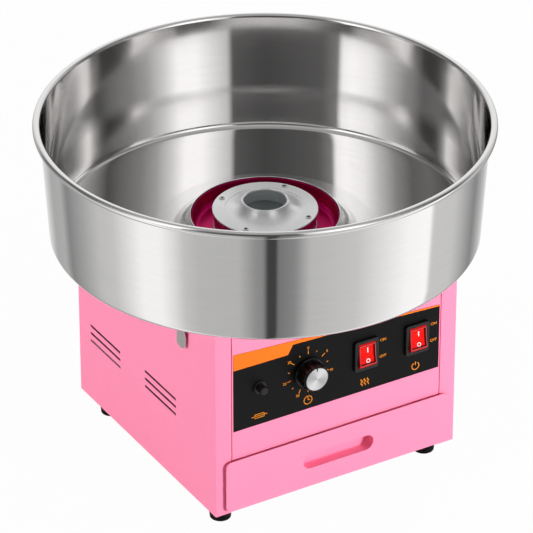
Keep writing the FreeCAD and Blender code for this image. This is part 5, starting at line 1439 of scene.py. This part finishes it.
@dataclass
class RockerSwitch:
    """Rocker switch: bezel and body, and a red key with a raised frame and I and O marks."""

    name: str
    x: float
    level: float = DIAL_LEVEL
    pivot_y: float = -154.0
    width: float = 21.5
    radius: float = 17.4
    rise: float = 12.0
    hollow: float = 1.6
    back: float = 7.0
    tilt: float = -7.0
    frame_width: float = 1.1
    ramp: float = 0.45
    recess: float = 2.2
    tall: float = 12.55
    face_steps: int = 81
    side_steps: int = 9
    ring_steps: int = 32

    def face_height(self, z: np.ndarray) -> np.ndarray:
        """Reach of the key's face from the pivot: a hollow arc between two round ends.

        Args:
            z: Heights from the pivot.

        Returns:
            The distances.
        """
        deep = (self.radius ** 2 + self.hollow ** 2) / (2 * self.hollow)
        dished = self.rise - self.hollow + deep - np.sqrt(deep ** 2 - z ** 2)
        return np.minimum(dished, np.sqrt(np.maximum(self.radius ** 2 - z ** 2, 1.0)))

    def swung(self, points: np.ndarray) -> np.ndarray:
        """Points given from the pivot, turned by the tilt about +X and moved to the pivot.

        Args:
            points: Array of (..., 3) points: x, reach towards -Y, height.

        Returns:
            Points in the machine's frame.
        """
        sine, cosine = math.sin(math.radians(self.tilt)), math.cos(math.radians(self.tilt))
        y, z = -points[..., 1], points[..., 2]
        return np.stack([self.x + points[..., 0], self.pivot_y + y * cosine - z * sine,
                         self.level + y * sine + z * cosine], axis=-1)

    def key(self) -> Piece:
        """Red key: a face with a sunk panel inside a raised frame, and rounded sides down to its back.

        The sides go straight down from the rim, and at the two ends out to the circle round the pivot.

        Returns:
            The new object.
        """
        half, tall = self.width / 2, self.tall
        step = np.linspace(-1, 1, self.face_steps)
        x, z = np.meshgrid(half * step, tall * step, indexing="xy")
        inset = np.minimum(half - np.abs(x), tall - np.abs(z))
        sunk = np.clip((inset - self.frame_width) / self.ramp, 0, 1)
        edge = 0.45 * np.clip(1 - inset / 0.5, 0, 1) ** 2
        top = np.stack([x, self.face_height(z) - self.recess * sunk - edge, z], axis=-1)
        rim = np.concatenate([top[0, :-1], top[:-1, -1], top[-1, :0:-1], top[:0:-1, 0]])
        height, side = rim[:, 2], [rim]
        for share in np.linspace(0.0, 1.0, self.side_steps + 1)[1:]:
            lower = rim[:, 1] - (self.back + rim[:, 1]) * share
            bulge = np.maximum(np.sqrt(np.maximum(self.radius ** 2 - lower ** 2, 0)), 1.0)
            out = np.where(np.abs(height) > tall - 0.01, np.sign(height) * bulge, height)
            side.append(np.stack([rim[:, 0], lower, out], axis=-1))
        centre = np.broadcast_to(side[-1].mean(axis=0), rim.shape)
        parts = [grid_mesh("key_face", self.swung(top), wrap_columns=False, outward=False),
                 grid_mesh("key_side", self.swung(np.array(side)), outward=False),
                 grid_mesh("key_back", self.swung(np.array([side[-1], centre])), outward=False)]
        return joined_pieces(self.name + "_key", parts, seamless=True)

    def ring(self, inset: float, sink: float) -> np.ndarray:
        """Rectangle on the key's face, at an inset from its edges and a depth under its face.

        Args:
            inset: Distance from the edges.
            sink: Depth.

        Returns:
            Points given from the pivot.
        """
        step, full = np.linspace(-1, 1, self.ring_steps + 1)[:-1], np.ones(self.ring_steps)
        x = np.concatenate([step, full, -step, -full]) * (self.width / 2 - inset)
        z = np.concatenate([-full, step, full, -step]) * (self.tall - inset)
        return np.stack([x, self.face_height(z) - sink, z], axis=-1)

    def painted_light_film(self, name: str, rings: Sequence[tuple[float, float]]) -> Piece:
        """Thin film of painted light that follows rings on the face, each given by its inset and depth:
        painted highlight on the frame and painted shade on the recess walls.
        """
        points = np.array([self.ring(inset, sink) for inset, sink in rings])
        return grid_mesh(self.name + name, self.swung(points))

    def marks(self) -> Piece:
        """White I and O on the sunk panel, as strokes bent onto the face.

        Returns:
            The new object.
        """
        strokes = (ribbon(np.array([(1.4, 1.8), (1.4, 8.0)]), 1.35),
                   ribbon(arc(1.1, -8.3, 2.1, 0, 350, 32), 1.0, True))
        film = np.array([0.05, 0.05, -0.05, -0.05])[:, None]
        parts = []
        for stroke in strokes:
            reach = self.face_height(stroke[..., 1]) - self.recess + film
            points = np.stack([stroke[..., 0], reach, stroke[..., 1]], axis=-1)
            parts.append(grid_mesh("mark", self.swung(points), wrap_rows=True, wrap_columns=False))
        return joined_pieces(self.name + "_marks", parts)

    def build(self) -> None:
        """Builds the bezel, the key, its marks, a film of painted highlight along its frame and one of
        painted shade on the walls of its sunk panel.
        """
        redressed(self.name + "_bezel", self.name + "_switch_body", "cabinet", "black_plastic",
                  "black_moulding", sharp=SHARP)
        body, inner = self.name + "_key", self.frame_width
        fitted(self.key(), body, "red_plastic", "red_moulding", self.name + "_rocker")
        fitted(self.marks(), body, "red_plastic", "lettering_white")
        outer = inner + self.ramp
        # painted highlight along the top of the key's frame
        frame_highlight_rings = ((0.15, 0.14), (0.5, -0.04), (inner - 0.1, -0.04), (inner, 0.1))
        fitted(self.painted_light_film("_key_frame_painted_highlight", frame_highlight_rings), body, "red_plastic", "key_trim")
        # painted shade: dark strip over the walls of the sunk panel
        wall = ((inner + 0.06, 0.1), (outer + 0.06, self.recess - 0.03))
        fitted(self.painted_light_film("_key_painted_recess_shade", wall), body, "red_plastic", "key_recess")


@dataclass
class FuseHolder:
    """Round flange with a bright edge, and a knurled cap."""

    x: float = FUSE_X
    level: float = DIAL_LEVEL
    face: float = -158.5
    flange_radius: float = 7.8
    flange: float = 2.0
    barrel_radius: float = 6.0
    barrel_length: float = 38.0
    bore: float = 3.6
    cap_radius: float = 5.0
    cap_length: float = 9.0
    plug_radius: float = 3.52
    plug_length: float = 8.0
    gap: float = 0.3
    knurls: int = 24
    knurl_depth: float = 0.035
    segments: int = 96
    cap_segments: int = 192

    def build(self) -> None:
        """Builds the flange with its barrel, and the cap, whose rows are (radius, level, knurl share).

        The knurls are the radius times 1 - depth * (1 + cos(knurls * a)) round the cap.
        """
        front, end = self.face - self.flange, self.face + self.barrel_length
        bore, barrel = self.bore, self.barrel_radius
        outline = eased([(bore, front), (self.flange_radius, front), (self.flange_radius, self.face),
                         (barrel, self.face), (barrel, end), (bore, end)], (0.3, 0.7, 0.2, 0.1, 0.3, 0.2))
        holder = turned("fuse_flange", outline, self.segments, Facing.FRONT, (self.x, self.level))
        fitted(holder, "cabinet", "black_plastic", "black_moulding", "fuse_holder_body")
        back, cap, plug = front - self.gap, self.cap_radius, self.plug_radius
        tip, deep = back - self.cap_length, back + self.plug_length
        rows = np.array([(0.0, deep, 0), (plug - 0.22, deep, 0), (plug, deep - 0.3, 0), (plug, back, 0),
                         (cap - 0.3, back, 0), (cap, back - 0.3, 0), (cap, back - 1.4, 0),
                         (cap - 0.05, back - 1.6, 1), (cap - 0.05, tip + 0.9, 1),
                         (cap - 0.4, tip + 0.3, 0.6), (cap - 0.9, tip, 0), (2.0, tip, 0), (0.0, tip, 0)])
        knurl = 1 + np.cos(self.knurls * around(self.cap_segments))
        turned_cap = turned("knurled_cap", rows[:, :2], self.cap_segments, Facing.FRONT,
                            (self.x, self.level), 1 - self.knurl_depth * rows[:, 2:] * knurl)
        fitted(turned_cap, "fuse_cap_group", "black_plastic", "black_moulding", "fuse_cap")


# ---------------------------------------------------------------- studio


@dataclass
class Studio:
    """Pale floor, soft light all round with brighter and darker panels, and the camera."""

    camera_place: tuple[float, float, float] = (-2040.1, -3435.4, 2571.2)
    target: tuple[float, float, float] = (1.75, 0.0, 209.99)
    lens: float = 274.88
    sensor: float = 36.0
    ambient: float = 0.27
    roof: float = 0.45
    low_zone: tuple[float, float] = (0.456, 0.0135)
    high_zone: tuple[float, float] = (0.4965, 0.027)
    floor_size: float = 12000.0
    floor_level: float = -0.4
    floor_white: float = 0.975
    lamp_target: tuple[float, float, float] = (0.0, 0.0, 0.2)

    # Panels as (turn from the camera in degrees, brightness), between which the light fades evenly.
    # ROOM is the light above the horizon, BELT and SIDES two zones in it, GROUND the light below.
    ROOM: tuple[tuple[float, float], ...] = (
        (-180, 1.0), (-150, 0.9), (-124, 0.1), (-104, 0.2), (-90, 0.16), (-78, 0.35), (-67, 0.75),
        (-57, 1.3), (-46, 1.5), (-40, 1.35), (-38.5, 0.28), (-30, 0.13), (0, 0.08), (17, 0.12),
        (19.5, 0.8), (28, 1.15), (36, 1.5), (46, 1.5), (54, 0.95), (64, 0.5), (74, 0.3), (98, 0.1),
        (112, 0.35), (150, 0.9), (180, 1.0))
    BELT: tuple[tuple[float, float], ...] = (
        (-180, 1.0), (-150, 0.9), (-112, 0.12), (-92, 0.2), (-84, 1.5), (-66, 1.3), (-48, 0.9),
        (-36, 0.7), (-29, 0.2), (-14, 0.07), (4, 0.08), (10, 0.28), (20, 0.35), (25, 1.1), (34, 1.2),
        (48, 0.8), (60, 1.1), (76, 1.7), (88, 1.0), (94, 0.12), (120, 0.12), (150, 0.9), (180, 1.0))
    SIDES: tuple[tuple[float, float], ...] = (
        (-180, 1.0), (-150, 0.9), (-112, 0.1), (-92, 0.12), (-78, 0.16), (-65, 0.34), (-53, 0.9),
        (-45, 1.25), (-39, 1.45), (-33, 0.7), (-28, 0.4), (-20, 0.11), (-6, 0.06), (3, 0.1),
        (11, 0.24), (20, 0.7), (26, 1.2), (31, 1.45), (37, 1.1), (42, 0.85), (47, 0.6), (54, 0.38),
        (64, 0.2), (80, 0.1), (112, 0.12), (150, 0.9), (180, 1.0))
    GROUND: tuple[tuple[float, float], ...] = (
        (-180, 0.95), (-158, 0.66), (-148, 0.46), (-135, 0.5), (-127, 0.28), (-111, 0.46),
        (-99, 0.63), (-88, 0.68), (-78, 0.9), (-69, 1.12), (-58, 1.12), (-50, 0.9), (-44, 0.67),
        (-36, 0.58), (-14, 0.56), (-5, 0.34), (-0.2, 0.3), (0.3, 0.06), (6.3, 0.06), (6.9, 0.22),
        (16, 0.3), (24, 0.59), (50, 0.69), (64, 0.9), (82, 1.15), (97, 1.2), (100, 0.7), (118, 0.68),
        (134, 0.4), (142, 0.28), (165, 0.7), (180, 0.95))

    # Lamps as name, place and side of the square in metres, and power in watts.
    LAMPS: tuple[tuple[str, tuple[float, float, float], float, float], ...] = (
        ("key_lamp", (1.5, -3.0, 0.42), 0.8, 100.0),
        ("side_lamp", (-3.2, 0.5, 0.45), 0.8, 62.0),
        ("rear_lamp", (2.6, 2.4, 0.45), 0.8, 80.0),
        ("top_lamp", (-0.4, -0.6, 3.2), 1.2, 8.0))

    def camera(self) -> None:
        """Sets up the camera at its measured place."""
        data = bpy.data.cameras.new("camera")
        data.lens, data.sensor_width, data.sensor_fit = self.lens, self.sensor, "HORIZONTAL"
        data.clip_start, data.clip_end = 0.05, 60.0
        camera = linked("camera", data)
        self.aim(camera, Vector(self.camera_place) * MM, Vector(self.target) * MM)
        bpy.context.scene.camera = camera

    @staticmethod
    def aim(piece: Piece, place: Vector, target: Vector) -> None:
        """Puts a camera or lamp at a place and turns it to look at a target, both in metres."""
        piece.location = place
        piece.rotation_euler = (target - place).to_track_quat("-Z", "Y").to_euler()

    @staticmethod
    def ramp(bench: Bench, turn: Node, stops: Sequence[tuple[float, float]]) -> Node:
        """Colour ramp that holds the panels.

        Args:
            bench: Bench on the world's nodes.
            turn: Node with the turn from the camera, 0 to 1 for -180 to 180 degrees.
            stops: The panels.

        Returns:
            The ramp node.
        """
        node = bench.add("ValToRGB", turn)
        for index, (degrees, value) in enumerate(stops):
            place = 0.5 + degrees / 360
            element = node.color_ramp.elements[index] if index < 2 else node.color_ramp.elements.new(place)
            element.position, element.color = place, grey(value)
        return node

    def world(self) -> None:
        """Even light for matt surfaces, panels for shiny ones, and white behind the object."""
        world = bpy.data.worlds.new("studio")
        bpy.context.scene.world = world
        world.use_nodes = True
        world.node_tree.nodes.clear()
        bench = Bench(world.node_tree)
        bearing = math.atan2(self.camera_place[1], self.camera_place[0])
        way = bench.add("VectorRotate", bench.add("TexCoord").outputs["Generated"],
                        rotation_type="Z_AXIS", Angle=-bearing)
        parts = bench.add("SeparateXYZ", way)
        height = parts.outputs[2]
        turn = bench.math("MULTIPLY_ADD", bench.math("ARCTAN2", parts.outputs[1], parts.outputs[0]),
                          0.5 / math.pi, 0.5)
        room, belt, sides, ground = (self.ramp(bench, turn, stops)
                                     for stops in (self.ROOM, self.BELT, self.SIDES, self.GROUND))
        lower = bench.mix(bench.math("COMPARE", height, *self.low_zone), room, belt)
        upper = bench.mix(bench.math("COMPARE", height, *self.high_zone), lower, sides)
        panels = bench.mix(bench.add("MapRange", height, -0.03, 0.03), ground, upper)
        roofed = bench.mix(bench.add("MapRange", height, 0.72, 0.86), panels, grey(self.roof))
        light = bench.add("LightPath")
        even = (self.ambient, self.ambient, self.ambient * 1.01, 1.0)
        shiny = bench.mix(light.outputs["Is Glossy Ray"], even, roofed)
        seen = bench.mix(light.outputs["Is Camera Ray"], shiny, grey(1.0))
        bench.add("OutputWorld", bench.add("Background", seen, 1.0))

    def floor(self) -> None:
        """Pale floor that shows white with a faint shadow and isn't mirrored in the metal."""
        ends, level = (-self.floor_size, self.floor_size), self.floor_level
        points = np.array([[(x, y, level) for x in ends] for y in ends])
        plate = grid_mesh("studio_floor", points, wrap_columns=False, outward=False)
        made = bpy.data.materials.new("pale_floor")
        made.use_nodes = True
        bench, nodes = Bench(made.node_tree), made.node_tree.nodes
        shader = bench.dress(nodes["Principled BSDF"], Base_Color=grey(0.86), Roughness=0.9)
        share = bench.math("MULTIPLY", bench.add("LightPath").outputs["Is Camera Ray"], self.floor_white)
        glow = bench.add("Emission", grey(1.0), 1.0)
        bench.dress(nodes["Material Output"], bench.add("MixShader", share, shader, glow))
        plate.data.materials.append(made)
        plate.visible_glossy = False

    def lamps(self) -> None:
        """Square soft lamps aimed at the machine, which shiny metal doesn't mirror."""
        for name, place, size, watts in self.LAMPS:
            data = bpy.data.lights.new(name, "AREA")
            data.size, data.energy = size, watts
            lamp = linked(name, data)
            self.aim(lamp, Vector(place), Vector(self.lamp_target))
            lamp.visible_glossy = False

    def build(self) -> None:
        """Sets up camera, world, floor and lamps."""
        bpy.context.scene.view_settings.view_transform = "Standard"
        self.camera()
        self.world()
        self.floor()
        self.lamps()


def main() -> None:
    """Builds the machine piece by piece."""
    Studio().build()
    log.info("studio ready")
    Finishes.make()
    Finishes.dress_packed_nodes()
    parts = (Bowl(), BowlClips(), BurnerDish(), SpinnerHead(), Cabinet(), Drawer(), ControlLabel(),
             TimerKnob(), RockerSwitch("heat", HEAT_X), RockerSwitch("power", POWER_X), FuseHolder())
    for part in parts:
        log.info("building %s", type(part).__name__)
        part.build()
    bpy.context.view_layer.update()


if __name__ == "__main__":
    main()
